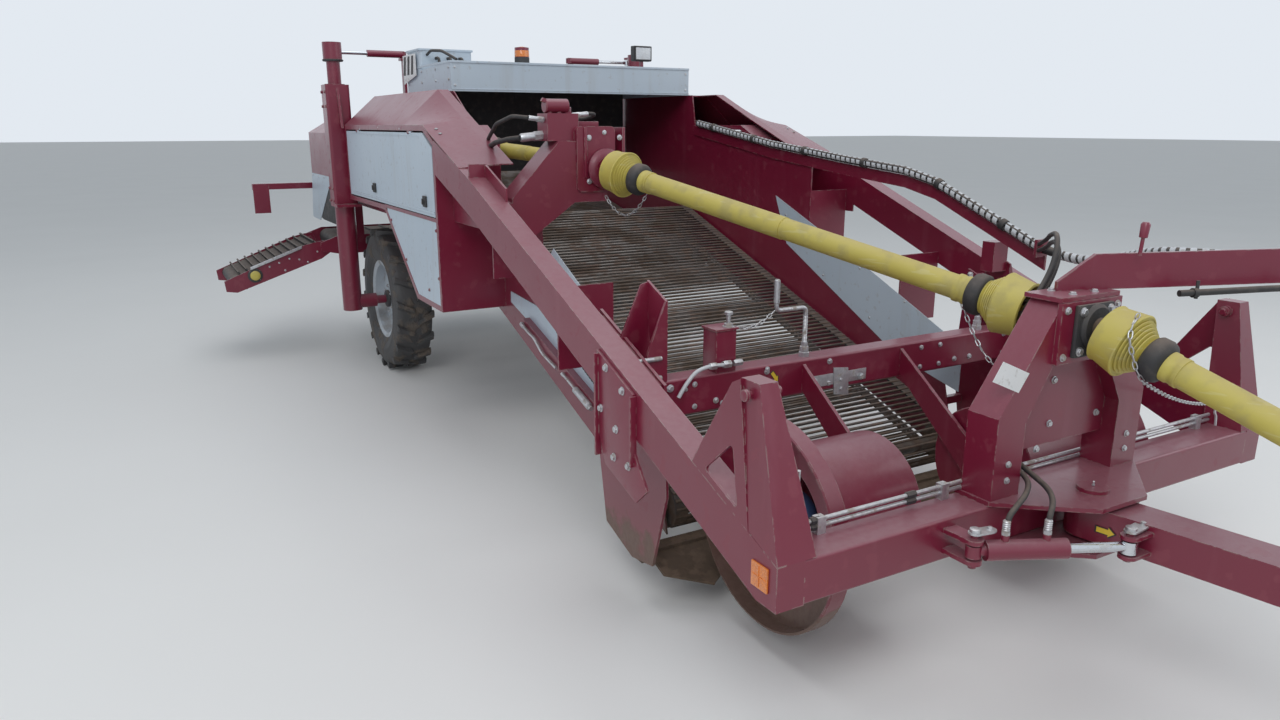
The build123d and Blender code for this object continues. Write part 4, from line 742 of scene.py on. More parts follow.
def stage_and_light():
    """The pale floor, the sky, three lamps and the camera."""
    bpy.ops.mesh.primitive_plane_add(size=240, location=(0, 3, GROUND - 0.0005))
    floor = bpy.context.object
    floor.name = "floor"
    floor.data.materials.append(pale_floor())
    world = bpy.data.worlds.new("sky")
    bpy.context.scene.world = world
    world.use_nodes = True
    tree = world.node_tree
    tree.nodes.clear()
    rays = tree.nodes.new("ShaderNodeLightPath")
    ambient = tree.nodes.new("ShaderNodeBackground")
    ambient.inputs["Color"].default_value = (0.86, 0.93, 1.0, 1)
    ambient.inputs["Strength"].default_value = 0.46
    seen = tree.nodes.new("ShaderNodeBackground")
    seen.inputs["Color"].default_value = (0.77, 0.82, 0.88, 1)
    seen.inputs["Strength"].default_value = 1.0
    either = tree.nodes.new("ShaderNodeMath")
    either.operation = "MAXIMUM"
    tree.links.new(rays.outputs["Is Camera Ray"], either.inputs[0])
    tree.links.new(rays.outputs["Is Glossy Ray"], either.inputs[1])
    blend = tree.nodes.new("ShaderNodeMixShader")
    tree.links.new(either.outputs[0], blend.inputs[0])
    tree.links.new(ambient.outputs[0], blend.inputs[1])
    tree.links.new(seen.outputs[0], blend.inputs[2])
    end = tree.nodes.new("ShaderNodeOutputWorld")
    tree.links.new(blend.outputs[0], end.inputs["Surface"])
    for name, place, size, power, aim in (
        ("key", (-6.0, -3.0, 7.0), 5.0, 330, (0, 3, 0.5)),
        ("fill", (7.0, -2.0, 5.0), 6.0, 120, (0, 3, 0.5)),
        ("top", (0.0, 4.0, 9.0), 8.0, 250, (0, 4, 0)),
    ):
        light = bpy.data.lights.new(name, "AREA")
        light.energy = power
        light.size = size
        lamp = bpy.data.objects.new(name, light)
        lamp.location = place
        lamp.rotation_euler = (Vector(aim) - Vector(place)).to_track_quat("-Z", "Y").to_euler()
        bpy.context.scene.collection.objects.link(lamp)
    lens = bpy.data.cameras.new("camera")
    lens.sensor_width = 36
    lens.lens = 25.31
    camera = bpy.data.objects.new("camera", lens)
    camera.location = (-2.879, -0.2872, 1.25)
    camera.rotation_euler = (radians(90 - 14.63), 0, radians(-29.5))
    bpy.context.scene.collection.objects.link(camera)
    bpy.context.scene.camera = camera
    bpy.context.scene.view_settings.view_transform = "Standard"


stage_and_light()


# The three free hoses, laid on their measured routes

SPAN_ROUTE = [
    spot(0.834, 0.797, 1.323), spot(0.831, 0.640, 1.290), spot(0.800, 0.470, 1.318),
    spot(0.722, 0.315, 1.362), spot(0.640, 0.170, 1.398), spot(0.620, 0.022, 1.410),
    spot(0.690, -0.092, 1.407), spot(0.8181, -0.1722, 1.405),
]
FRONT_ROUTE = [
    spot(0.798, 0.797, 1.318), spot(0.680, 0.678, 1.350), spot(0.548, 0.566, 1.384),
    spot(0.408, 0.458, 1.414), spot(0.278, 0.354, 1.436), spot(0.168, 0.264, 1.454),
    spot(0.090, 0.204, 1.460), spot(0.056, 0.163, 1.432), spot(0.023, 0.152, 1.367),
    spot(-0.043, 0.150, 1.279), spot(-0.109, 0.148, 1.203), spot(-0.162, 0.150, 1.112),
    spot(-0.184, 0.148, 1.005), spot(-0.190, 0.132, 0.890), spot(-0.187, 0.078, 0.776),
    spot(-0.206, -0.030, 0.748), spot(-0.246, -0.112, 0.744), spot(-0.302, -0.172, 0.734),
    spot(-0.348, -0.1941, 0.7023), spot(-0.348, -0.1941, 0.6503),
]
REAR_ROUTE = [
    spot(0.798, 0.797, 1.346), spot(0.690, 0.690, 1.380), spot(0.560, 0.580, 1.412),
    spot(0.420, 0.472, 1.441), spot(0.290, 0.368, 1.462), spot(0.170, 0.272, 1.483),
    spot(0.082, 0.198, 1.487), spot(0.036, 0.160, 1.448), spot(0.002, 0.150, 1.378),
    spot(-0.062, 0.150, 1.294), spot(-0.128, 0.148, 1.218), spot(-0.184, 0.150, 1.118),
    spot(-0.208, 0.148, 1.000), spot(-0.213, 0.130, 0.885), spot(-0.210, 0.080, 0.771),
    spot(-0.232, -0.028, 0.744), spot(-0.325, -0.094, 0.740), spot(-0.416, -0.128, 0.728),
    spot(-0.4647, -0.1369, 0.7023), spot(-0.4647, -0.1369, 0.6503),
]
span_hose = curve_piece("span_hose", SPAN_ROUTE, 0.019, RUBBER, stands_for=["hose_span"])
front_port_hose = curve_piece(
    "front_port_hose", FRONT_ROUTE, 0.009, RUBBER, stands_for=["ram_hose_front"]
)
rear_port_hose = curve_piece(
    "rear_port_hose", REAR_ROUTE, 0.009, RUBBER, stands_for=["ram_hose_rear"]
)


def fitting(name, end, towards, radius):
    """The crimped sleeve and swivel nut at a hose's end."""
    axis = (towards - end).normalized()
    sleeve = []
    for step in range(5):
        along = (1.3 + 0.75 * step) * radius
        sleeve += [(along, 1.18 * radius), (along + 0.5 * radius, 1.34 * radius)]
    sleeve.append((5.2 * radius, 1.05 * radius))
    shape = Shape()
    shape.lathe(((0, 1.5 * radius), (1.3 * radius, 1.5 * radius)), end, end + axis, 6)
    return shape.lathe(sleeve, end, end + axis, 16).piece(name, ZINC)


def wrap(name, line, radius, pitch, width):
    """A flat pale spiral wrapped round a line of places."""
    thick = 0.0022
    section = (
        (radius, -width / 2), (radius + thick, -width / 2),
        (radius + thick, width / 2), (radius, width / 2),
    )
    rings = []
    walked = 0.0
    side = None
    for before, after in zip(line, line[1:]):
        run = (after - before).length
        axis = (after - before).normalized()
        side = axis.orthogonal() if side is None else side - axis * side.dot(axis)
        side.normalize()
        up = axis.cross(side)
        steps = max(1, int(run / (pitch / 10)))
        for step in range(steps):
            turn = 2 * pi * (walked + run * step / steps) / pitch
            place = before.lerp(after, step / steps)
            out = side * cos(turn) + up * sin(turn)
            rings.append([place + out * reach + axis * half for reach, half in section])
        walked += run
    return Shape().skin(rings).piece(name, WRAP, soft=60)


span_line = line_of(span_hose)
span_wrap = wrap("span_wrap", span_line[2:-2], 0.0188, 0.036, 0.022)
front_fitting = fitting("front_port_fitting", FRONT_ROUTE[-1], FRONT_ROUTE[-2], 0.009)
rear_fitting = fitting("rear_port_fitting", REAR_ROUTE[-1], REAR_ROUTE[-2], 0.009)


# Hoses held on the rail, in a pale wrap with black clamps

RAIL_EDGE = (
    (0.812, 1.323), (0.928, 1.371), (1.445, 1.580), (1.655, 1.626), (2.055, 1.663),
    (2.760, 1.737), (3.600, 1.863),
)
CLAMPS_AT_Y = (1.02, 1.42, 1.95, 2.45, 2.95, 3.4)


def held_hoses():
    """The bundle that lies on the rail and on the hose arm."""
    bundle = Shape()
    for across, above in ((-0.009, -0.009), (0.010, -0.008), (-0.008, 0.010), (0.009, 0.010)):
        row = [(y, z + above) for y, z in RAIL_EDGE]
        bundle.pipe(across_x(RAIL_X + across, row), 0.0098, 8)
    bundle.pipe([spot(0.8181, -0.1722, 1.405), spot(1.0829, -0.2634, 1.405)], 0.0165, 12)
    bundle.piece("held_hoses", RUBBER, stands_for=["hose_bundle"])
    wrap("bundle_wrap", across_x(RAIL_X, RAIL_EDGE), 0.0195, 0.040, 0.026)
    clamps = Shape()
    for y in CLAMPS_AT_Y:
        for low, high in zip(RAIL_EDGE, RAIL_EDGE[1:]):
            if low[0] <= y < high[0]:
                z = low[1] + (high[1] - low[1]) * (y - low[0]) / (high[0] - low[0])
                run = (spot(0, *high) - spot(0, *low)).normalized()
                start = spot(RAIL_X, y, z) - run * 0.016
                strap = ((0, 0.0235), (0.003, 0.0262), (0.029, 0.0262), (0.032, 0.0235))
                clamps.lathe(strap, start, start + run, 16)
    clamps.piece("bundle_clamps", RUBBER)


held_hoses()


# Bolts, nuts and rivets on the faces they stand on


def rows(facing, radius, places):
    """Fasteners of one thread radius that face one way, at machine places."""
    return [(place, facing, radius) for place in places]


def fasteners(name, shape, placed, finish=ZINC, body="chassis", seed=1):
    """One piece of equal fasteners, each turned by chance."""
    places = [(spot(*where), facing, size) for where, facing, size in placed]
    return repeat(name, shape, places, finish, body, spin=2 * pi, seed=seed)


def circle_of(x, centre, reach, count, start=0.0):
    """Machine places round an axle that runs along X."""
    turns = [2 * pi * (step + start) / count for step in range(count)]
    return [(x, centre[1] + reach * cos(turn), centre[2] + reach * sin(turn)) for turn in turns]


def front_bolts():
    """Bolts of the front beam and the tool beam."""
    beam_y, tool_y = 0.054, 1.050
    made = rows(
        FORWARD, 0.010,
        [
            (-0.050, beam_y, 1.032), (-0.179, 0.000, 0.830), (0.200, beam_y, 1.030),
            (-0.050, beam_y, 0.880), (0.200, beam_y, 0.880), (-0.200, beam_y, 1.030),
        ],
    )
    made += rows(FORWARD, 0.010, [(x, -0.018, z) for x in (-0.125, 0.125) for z in (1.133, 1.285)])
    corners = ((1.196, 1.004), (1.130, 0.912), (1.150, 0.800), (1.205, 0.842))
    for side, s in SIDES:
        made += rows(FORWARD, 0.009, [(s * 0.307, 0.0, z) for z in (0.745, 0.800)])
        made += rows(FORWARD, 0.009, [(s * x, tool_y, z) for x, z in corners])
        made += rows(FORWARD, 0.010, [(s * x, tool_y, 0.795) for x in (0.620, 0.720)])
    arms = [(x, tool_y, z) for x in (-0.472, -0.140) for z in (0.880, 0.785)]
    made += rows(FORWARD, 0.010, arms)
    beam = [(x, tool_y, z) for x in (-0.95, -0.82, 0.40, 0.52, 0.95) for z in (0.785, 0.875)]
    return made + rows(FORWARD, 0.009, beam)


def body_bolts():
    """Bolts of the body, door rivets and wheel nuts."""
    fasteners("front_bolts", BOLT, front_bolts())
    top = rows(UP, 0.010, [(x, y, 1.325) for x in (-0.055, 0.055) for y in (0.020, 0.100)])
    flanks, hood, lining, rear = [], [], [], []
    for s in (-1, 1):
        out = LEFT * s
        top += rows(UP, 0.004, [(s * x, 0.123, 0.722) for x in (0.975, 0.457)])
        top += rows(UP, 0.008, [(s * 1.175, y, z) for y, z in ((2.985, 1.8045), (3.050, 1.828))])
        flank = ((2.989, 1.300), (3.623, 1.066), (3.921, 1.277), (2.985, 1.041), (3.180, 0.950))
        flanks += rows(out, 0.008, [(s * 1.223, y, z) for y, z in flank])
        edge = [(s * TROUGH_SIDE, y, z) for y in (3.79, 4.05, 4.35, 4.65) for z in (2.12, 2.19)]
        hood += rows(out, 0.007, edge)
        inner = (
            (1.30, 0.83), (1.60, 0.95), (1.95, 1.08), (2.30, 1.22), (2.62, 1.32),
            (1.45, 0.62), (1.85, 0.82), (2.25, 1.00), (2.55, 1.18),
        )
        lining += rows(-out, 0.007, [(s * (TROUGH_SIDE - 0.004), y, z) for y, z in inner])
        rear += rows(BACK, 0.010, [(s * x, 6.750, 1.255) for x in (0.20, 0.60, 0.93)])
    fasteners("top_bolts", BOLT, top, seed=2)
    fasteners("side_bolts", BOLT, flanks, RED, seed=3)
    fold = ((4.595, 1.822), (3.235, 1.432), (3.60, 1.830), (4.10, 1.835), (4.840, 1.422))
    for side, s in SIDES:
        door = rows(LEFT * s, 0.006, [(s * 1.2245, y, z) for y, z in fold])
        fasteners(f"door_rivets_{side}", RIVET, door, ZINC, f"door_{side}")
        studs = rows(LEFT * s, 0.011, circle_of(s * 0.960, WHEEL, 0.100, 6, 0.5))
        fasteners(f"wheel_nuts_{side}", NUT, studs, ZINC, f"wheel_{side}", seed=7)
    front = rows(FORWARD, 0.006, [(x, 3.750, z) for z in (2.085, 2.190) for x in (-0.825, 0.825)])
    fasteners("hood_bolts", BOLT, front + hood, ZINC, seed=4)
    fasteners("lining_bolts", RIVET, lining, ZINC, seed=5)
    fasteners("rear_bolts", BOLT, rear, ZINC, seed=6)


body_bolts()


# Rod webs on their belts


def block_shape(name, levels, bevel):
    """A short block to repeat, from (half width, half depth, height) levels."""
    signs = ((-1, -1), (1, -1), (1, 1), (-1, 1))
    rings = [[Vector((a * wide, b * deep, z)) for a, b in signs] for wide, deep, z in levels]
    return Shape().skin(rings, bevel=bevel).data(name)


ROD_END = block_shape("rod_end", ((0.028, 0.010, -0.003), (0.028, 0.010, 0.0045)), 0.002)


def web(name, node, front, rear, radius):
    """Round rods riveted to two flat belts, all round both rollers."""
    start, end = spot(0, *front), spot(0, *rear)
    slope = (end - start).normalized()
    up = LEFT.cross(slope)
    half, belt, belt_width, pitch = 0.835, 0.010, 0.060, 0.036

    def loop(reach):
        turns = [pi * step / 12 for step in range(13)]
        far = [end + (up * cos(a) + slope * sin(a)) * reach for a in turns]
        return far + [start - (up * cos(a) + slope * sin(a)) * reach for a in turns]

    belts = Shape()
    for low in (-half, half - belt_width):
        high = low + belt_width
        corners = ((radius, low), (radius + belt, low), (radius + belt, high), (radius, high))
        loops = [[place + LEFT * x for place in loop(reach)] for reach, x in corners]
        belts.skin(list(zip(*loops)), around=True)
    belts.piece(f"{name}_belts", RUBBER)
    middle = loop(radius + belt)
    middle.append(middle[0])
    count = int(length_of(middle) / pitch)
    rods, ends, rivets = [], [], []
    for place, along in steps_along(middle, length_of(middle) / count + 1e-6):
        out = along.cross(LEFT)
        rods.append((place + out * 0.001, LEFT, (0.0066, 0.0066, 2 * half - 0.004)))
        for x in (half - belt_width / 2, -half + belt_width / 2):
            ends.append((place + LEFT * x + out * 0.004, out, 1.0, LEFT))
            for dx in (0.012, -0.012):
                rivets.append((place + LEFT * (x + dx) + out * 0.0085, out, 0.0055))
    repeat(f"{name}_rods", ROD, rods, STEEL, stands_for=[node])
    repeat(f"{name}_rod_ends", ROD_END, ends, STEEL)
    repeat(f"{name}_rivets", RIVET, rivets, ZINC)


web("digging_web", "digging_web", (1.250, 0.300), (3.720, 1.190), 0.090)
web("second_web", "rear_web", (3.560, 0.860), (5.990, 1.400), 0.075)


# Drive shafts in their guards


def guard_profiles(tube, bell, length):
    """The cup, the bellows, the band and the collar at one end of a guard."""
    cup_end = 0.040 + 0.46 * length
    cup = [
        (0.040, bell * 0.86), (0.043, bell * 0.90), (0.050, bell * 0.87),
        (cup_end - 0.006, bell * 0.985), (cup_end, bell), (cup_end + 0.004, bell * 0.97),
    ]
    cup += [(along, radius - 0.005) for along, radius in reversed(cup)]
    neck, wide = tube * 1.36, bell * 0.93
    ribs, last = 6, length - 0.010
    step = (last - cup_end) / ribs
    fold = []
    for rib in range(ribs):
        radius = wide + (neck - wide) * rib / ribs
        along = cup_end - 0.004 + step * rib
        crest = [(along + step * share, radius) for share in (0.30, 0.72)]
        fold += [(along, radius - 0.007), *crest]
    fold += [(last, neck - 0.006), (last + 0.004, neck), (length + 0.004, neck)]
    fold += [(along, max(radius - 0.010, tube - 0.004)) for along, radius in reversed(fold)]
    band = (
        (0.0, -0.010), (0.001, 0.006), (0.010, 0.013), (0.038, 0.014), (0.052, 0.008),
        (0.060, -0.004), (0.062, -0.014),
    )
    collar = (
        (0.046, 1.16), (0.062, 1.16), (0.066, 1.09), (0.080, 1.09), (0.082, 1.14), (0.096, 1.14),
    )
    collar = [(length + 0.012 + along, tube * share) for along, share in collar]
    collar.insert(0, (length + 0.056, tube - 0.002))
    collar.append((length + 0.110, tube - 0.002))
    return cup, fold, [(length - 0.004 + along, neck + more) for along, more in band], collar


def universal_joint(shape, begin, towards, hub):
    """Two forks on their cross, and the shaft that goes on from them."""
    axis = (towards - begin).normalized()
    side = axis.orthogonal().normalized()
    across = axis.cross(side)
    sleeve = (
        (0.0, 0.52), (0.0, 0.94), (0.004, 1), (0.034, 1), (0.036, 0.86), (0.052, 0.86),
        (0.052, 0.5),
    )
    shape.lathe([(along, hub * share) for along, share in sleeve], begin, towards, 24, around=True)
    for s in (-1, 1):
        for root, tip, lift, sweep in ((0.044, 0.122, side, across), (0.156, 0.088, across, side)):
            outline = [
                begin + axis * along + lift * (s * hub * high) + sweep * (hub * wide)
                for along, high, wide in (
                    (root, 0.45, -0.62), (root, 0.45, 0.62), (tip, 0.98, 0.42), (tip, 0.98, -0.42)
                )
            ]
            shape.slab(outline, lift * (s * hub * 0.40), 0.003)
    centre = begin + axis * 0.104
    for way in (side, across):
        arm = ((0, hub * 0.28), (2.6 * hub, hub * 0.28))
        shape.lathe(arm, centre - way * (1.3 * hub), centre + way, 14)
    half = (towards - begin).length / 2
    shape.lathe(((0, hub * 0.5), (half + 0.02, hub * 0.5)), centre + axis * 0.045, towards, 14)


def guard(name, node, start, end, tube, bell, length):
    """A thin guard tube between two cups, each with bellows and a band where it meets the tube."""
    start, end = spot(*start), spot(*end)
    run = (end - start).length
    shell, bands, joints = Shape(), Shape(), Shape()
    cup, fold, band, collar = guard_profiles(tube, bell, length)
    for begin, towards in ((start, end), (end, start)):
        shell.lathe(cup, begin, towards, 40, around=True)
        shell.lathe(fold, begin, towards, 40, around=True)
        bands.lathe(band, begin, towards, 40)
        shell.lathe(collar, begin, towards, 36)
        universal_joint(joints, begin, towards, bell * 0.32)
    first, last = length - 0.010, run - length + 0.010
    middle = [(first, tube), (run / 2, tube), (run / 2, tube * 1.06), (last, tube * 1.06)]
    middle += [(last, tube - 0.004), (first, tube - 0.004)]
    shell.lathe(middle, start, end, 36, around=True)
    shell.piece(name, YELLOW, stands_for=[node], soft=50)
    bands.piece(f"{name}_bands", RUBBER, soft=50)
    joints.piece(f"{name}_joints", STEEL)


SHAFT_FRONT, BEARING = (0.090, -1.350, 0.790), (0, -0.038, 1.225)
CHAIN_HOOK = (0.983, 0.060, 0.795)
guard("front_guard", "drive_shaft_front", SHAFT_FRONT, BEARING, 0.042, 0.108, 0.190)
guard(
    "middle_guard", "drive_shaft_middle", (0, 0.170, 1.225), (-0.560, 2.260, 1.640),
    0.045, 0.110, 0.200,
)
guard(
    "side_guard", "drive_shaft_side", (-0.560, 2.498, 1.670), (-0.8575, 3.290, 1.730),
    0.038, 0.080, 0.120,
)


def guard_chains():
    """Chains that hold the guards still, the first laid over its bellows."""
    near_end = spot(*BEARING)
    axis = (spot(*SHAFT_FRONT) - near_end).normalized()
    top = LEFT.cross(-axis).normalized()
    side = axis.cross(top).normalized()
    side *= -1 if side.x > 0 else 1
    over_guard = [
        near_end + axis * along + (top * cos(turn) + side * sin(turn)) * reach
        for along, reach, turn in (
            (0.116, 0.110, 0.30), (0.130, 0.113, 0.70), (0.152, 0.102, 1.10), (0.176, 0.080, 1.50),
            (0.200, 0.077, 2.00), (0.222, 0.077, 2.60),
        )
    ]
    chain("guard_chain", rounded(over_guard, 0.018))
    chain("front_guard_chain", hang(over_guard[-1], spot(*CHAIN_HOOK), 0.03, 40))
    for name, start, end, sag in (
        ("middle_guard_chain", (-0.045, 0.470, 1.232), (-0.062, 0.128, 1.050), 0.11),
        ("gear_end_chain", (-0.500, 1.985, 1.530), (-0.560, 2.300, 1.515), 0.10),
        ("crank_chain", (-0.622, 1.060, 1.078), (-0.395, 1.100, 1.124), 0.030),
    ):
        chain(name, hang(spot(*start), spot(*end), sag))


guard_chains()


# Bent rods, pins and small fittings


def bent_rod(shape, places, reach, radius, steps=10):
    """A round bar along machine places, with eased corners."""
    return shape.pipe(rounded([spot(*place) for place in places], reach), radius, steps)


def depth_screw(name, x, throw, rise):
    """A threaded rod in its collar with a bent crank handle."""
    y, foot = 1.100, 0.905
    neck = foot + rise
    shape = Shape()
    collar = (
        (0, 0.024), (0.018, 0.024), (0.020, 0.020), (0.042, 0.020), (0.044, 0.015), (0.060, 0.015),
    )
    shape.turned(collar, (x, y, foot), UP, 6)
    thread = []
    for turn in range(int((rise - 0.09) / 0.006)):
        thread += [(0.060 + turn * 0.006, 0.0090), (0.063 + turn * 0.006, 0.0108)]
    shape.turned(thread, (x, y, foot), UP, 12)
    end = x + throw
    bent_rod(
        shape, [(x, y, neck - 0.05), (x, y, neck), (end, y, neck), (end, y, neck + 0.130)],
        0.022, 0.0092, 12,
    )
    grip = ((0, 0.0092), (0.003, 0.0125), (0.095, 0.0125), (0.098, 0.0092))
    shape.turned(grip, (end, y, neck + 0.030), UP, 16)
    shape.piece(name, ZINC, stands_for=["depth_cranks"])


depth_screw("right_depth_screw", -0.240, -0.155, 0.210)
depth_screw("left_depth_screw", 0.815, -0.0775, 0.150)


def keeper(name, where, along, body, length):
    """A round-ended plate that keeps a pin, under its bolt."""
    centre, along = spot(*where), Vector(along).normalized()
    across = UP.cross(along)
    outline = []
    for middle, start in ((centre, pi / 2), (centre + along * length, -pi / 2)):
        for step in range(9):
            turn = start + pi * step / 8
            outline.append(middle + (along * cos(turn) + across * sin(turn)) * 0.021)
    shape = Shape()
    shape.slab(outline, UP * 0.006, 0.001)
    shape.turned(((0.005, 0.017), (0.016, 0.017), (0.018, 0.014)), where, UP, 20)
    shape.piece(name, ZINC, body)
    bolt_place = tuple(centre + along * length + UP * 0.006 + EYE)
    fasteners(f"{name}_bolt", BOLT, rows(UP, 0.0085, [bolt_place]), ZINC, body)


keeper("foot_pin_keeper", (-0.550, -0.095, 0.656), (1.0, -0.16, 0), "chassis", 0.055)
keeper("eye_pin_keeper", (-0.112, -0.310, 0.648), (1.0, 0.12, 0), "drawbar", 0.075)


def grease_nipples():
    """Small hexagons with ball heads."""
    shape = Shape()
    ball = ((0.005, 0.003), (0.009, 0.0026), (0.011, 0.0036), (0.014, 0.0036), (0.016, 0.002))
    for where, axis in (
        ((-1.150, 5.100, 1.60), FORWARD), ((1.150, 5.100, 1.60), FORWARD),
        ((0.0, -0.100, 0.702), UP),
    ):
        shape.turned(((0, 0.0055), (0.005, 0.0055)), where, axis, 6)
        shape.turned(ball, where, axis, 10)
    shape.piece("grease_nipples", ZINC)


grease_nipples()


def door_fittings():
    """Latches and folded edges of the side doors."""
    boss, half = ((0.009, 0.015), (0.012, 0.015), (0.014, 0.012)), 0.030
    for side, s in SIDES:
        face = s * FRAME_SIDE
        latches = Shape()
        for y, z in ((4.277, 1.455), (3.153, 1.445)):
            plate = (face, face + s * 0.010)
            latches.box(plate, (y - half, y + half), (z - half, z + half), 0.004)
            latches.turned(boss, (face, y, z), LEFT * s, 20)
            turn = (face + s * 0.014, face + s * 0.022)
            latches.box(turn, (y - 0.005, y + 0.005), (z - 0.016, z + 0.016), 0.002)
        latches.piece(f"door_latches_{side}", RUBBER, f"door_{side}")
        edge, depth = Shape(), (face - s * 0.002, face + s * 0.003)
        edge.box(depth, (2.990, 4.880), (1.386, 1.398), 0.001)
        edge.box(depth, (3.23, 4.86), (1.792, 1.800), 0.001)
        edge.piece(f"door_folds_{side}", PANEL, f"door_{side}")


door_fittings()


# Lamps, reflectors and marks


def arrow_mark(name, centre, along, across, size, body="chassis"):
    """A blank arrow sticker inside a dark border."""
    centre, along, across = spot(*centre), Vector(along), Vector(across)
    out = along.cross(across).normalized()
    arrow = (
        (-1.0, -0.34), (0.30, -0.34), (0.30, -0.62), (1.0, 0.0),
        (0.30, 0.62), (0.30, 0.34), (-1.0, 0.34),
    )
    for part, long, wide, lift, thick, finish in (
        (f"{name}_border", 1, 1, 0, 0.0008, RUBBER), (name, 0.84, 0.74, 0.0006, 0.0006, YELLOW_MARK)
    ):
        outline = [
            centre + along * (a * long * size) + across * (b * wide * size) + out * lift
            for a, b in arrow
        ]
        Shape().slab(outline, out * thick, 0).piece(part, finish, body)


def lamp_shells():
    """The work lamp's shell, and the beacon on its base."""
    shell = Shape().box((0.426, 0.564), (3.766, 3.814), (2.266, 2.364), 0.008)
    for x, z in (
        ((0.432, 0.558), (2.271, 2.277)), ((0.432, 0.558), (2.353, 2.359)),
        ((0.432, 0.438), (2.271, 2.359)), ((0.552, 0.558), (2.271, 2.359)),
    ):
        shell.box(x, (3.758, 3.768), z, 0.002)
    for step in range(7):
        x = 0.450 + 0.0145 * step
        shell.box((x, x + 0.004), (3.812, 3.830), (2.280, 2.350), 0.001)
    beacon = (-0.200, 4.200)
    base = ((0.0, 0.046), (0.004, 0.052), (0.030, 0.050), (0.064, 0.050), (0.066, 0.046))
    shell.turned(base, (*beacon, 2.228), UP, 28)
    shell.piece("lamp_shells", CASTING)
    dome = (
        (0, 0.040), (0.004, 0.050), (0.040, 0.0495), (0.056, 0.044), (0.066, 0.030), (0.070, 0.010),
    )
    Shape().turned(dome, (*beacon, 2.292), UP, 28).piece("beacon_dome", AMBER_LENS)


def lenses():
    """Lenses of the work lamp and the rear lamps, and the front beam's reflectors."""

    def ribbed(shape, count, start, pitch, half, y, z):
        for step in range(count):
            x = start + pitch * step
            shape.box((x - half, x + half), y, z, 0)
        return shape

    round_lens = ((0, 0.044), (0.004, 0.048), (0.012, 0.044), (0.015, 0.030))
    lens = Shape().box((0.438, 0.552), (3.760, 3.768), (2.277, 2.353), 0.002)
    ribbed(lens, 10, 0.44625, 0.011, 0.00125, (3.7585, 3.761), (2.280, 2.350))
    lens.piece("work_lamp_lens", PALE_LENS)
    for side, s in SIDES:
        x = s * 1.625
        wide = (x - 0.050, x + 0.050)
        red = Shape().turned(round_lens, (x, 6.744, 1.230), BACK, 24)
        red.box(wide, (6.699, 6.708), (1.112, 1.140), 0.002)
        ribbed(red, 9, x - 0.040, 0.010, 0.0015, (6.706, 6.710), (1.115, 1.137))
        red.piece(f"rear_lamp_lens_{side}", RED_LENS)
        amber = Shape().box(wide, (6.699, 6.710), (1.146, 1.182), 0.003)
        ribbed(amber, 9, x - 0.040, 0.010, 0.0015, (6.708, 6.712), (1.150, 1.178))
        amber.piece(f"rear_turn_lens_{side}", AMBER_LENS)
    reflector = Shape()
    for s in (-1, 1):
        face, rib = (s * FRAME_SIDE, s * 1.231), (s * 1.230, s * 1.233)
        reflector.box(face, (0.036, 0.112), (0.575, 0.652), 0.003)
        reflector.box(rib, (0.042, 0.106), (0.612, 0.6145), 0.0005)
        reflector.box(rib, (0.0735, 0.0755), (0.581, 0.646), 0.0005)
    reflector.piece("beam_reflectors", AMBER_LENS)


def marks():
    """The blank plate, two arrows and the striped board."""
    plate_y = -0.0002
    plate = ((-0.382, 1.150), (-0.253, 1.095), (-0.295, 1.037), (-0.422, 1.091))
    Shape().slab(across_y(plate_y, plate), (0, -0.0008, 0), 0).piece("blank_plate", WHITE_PLATE)
    arrow_mark("beam_sign", (-0.430, 1.0498, 0.852), (0.62, 0, -0.78), (0.78, 0, 0.62), 0.030)
    forward = (sin(DRAWBAR_TURN), -cos(DRAWBAR_TURN), 0)
    arrow_mark("drawbar_sign", (-0.062, -0.200, 0.592), forward, UP, 0.034, "drawbar")
    board = ((4.731, 2.310), (4.432, 2.310), (4.432, 2.170), (4.731, 2.120))
    board = Shape().slab(across_x(-0.862, board), (-0.004, 0, 0), 0.001)
    board.piece("marker_board", WHITE_PLATE)
    stripes = Shape()
    for y in (4.470, 4.560, 4.650):
        stripe = ((y, 2.300), (y + 0.045, 2.300), (y + 0.075, 2.180), (y + 0.030, 2.180))
        stripes.slab(across_x(-0.866, stripe), (-0.0012, 0, 0), 0)
    stripes.piece("marker_stripes", CASTING)


lamp_shells()
lenses()
marks()


# Tyres with rounded shoulders and slanted lugs


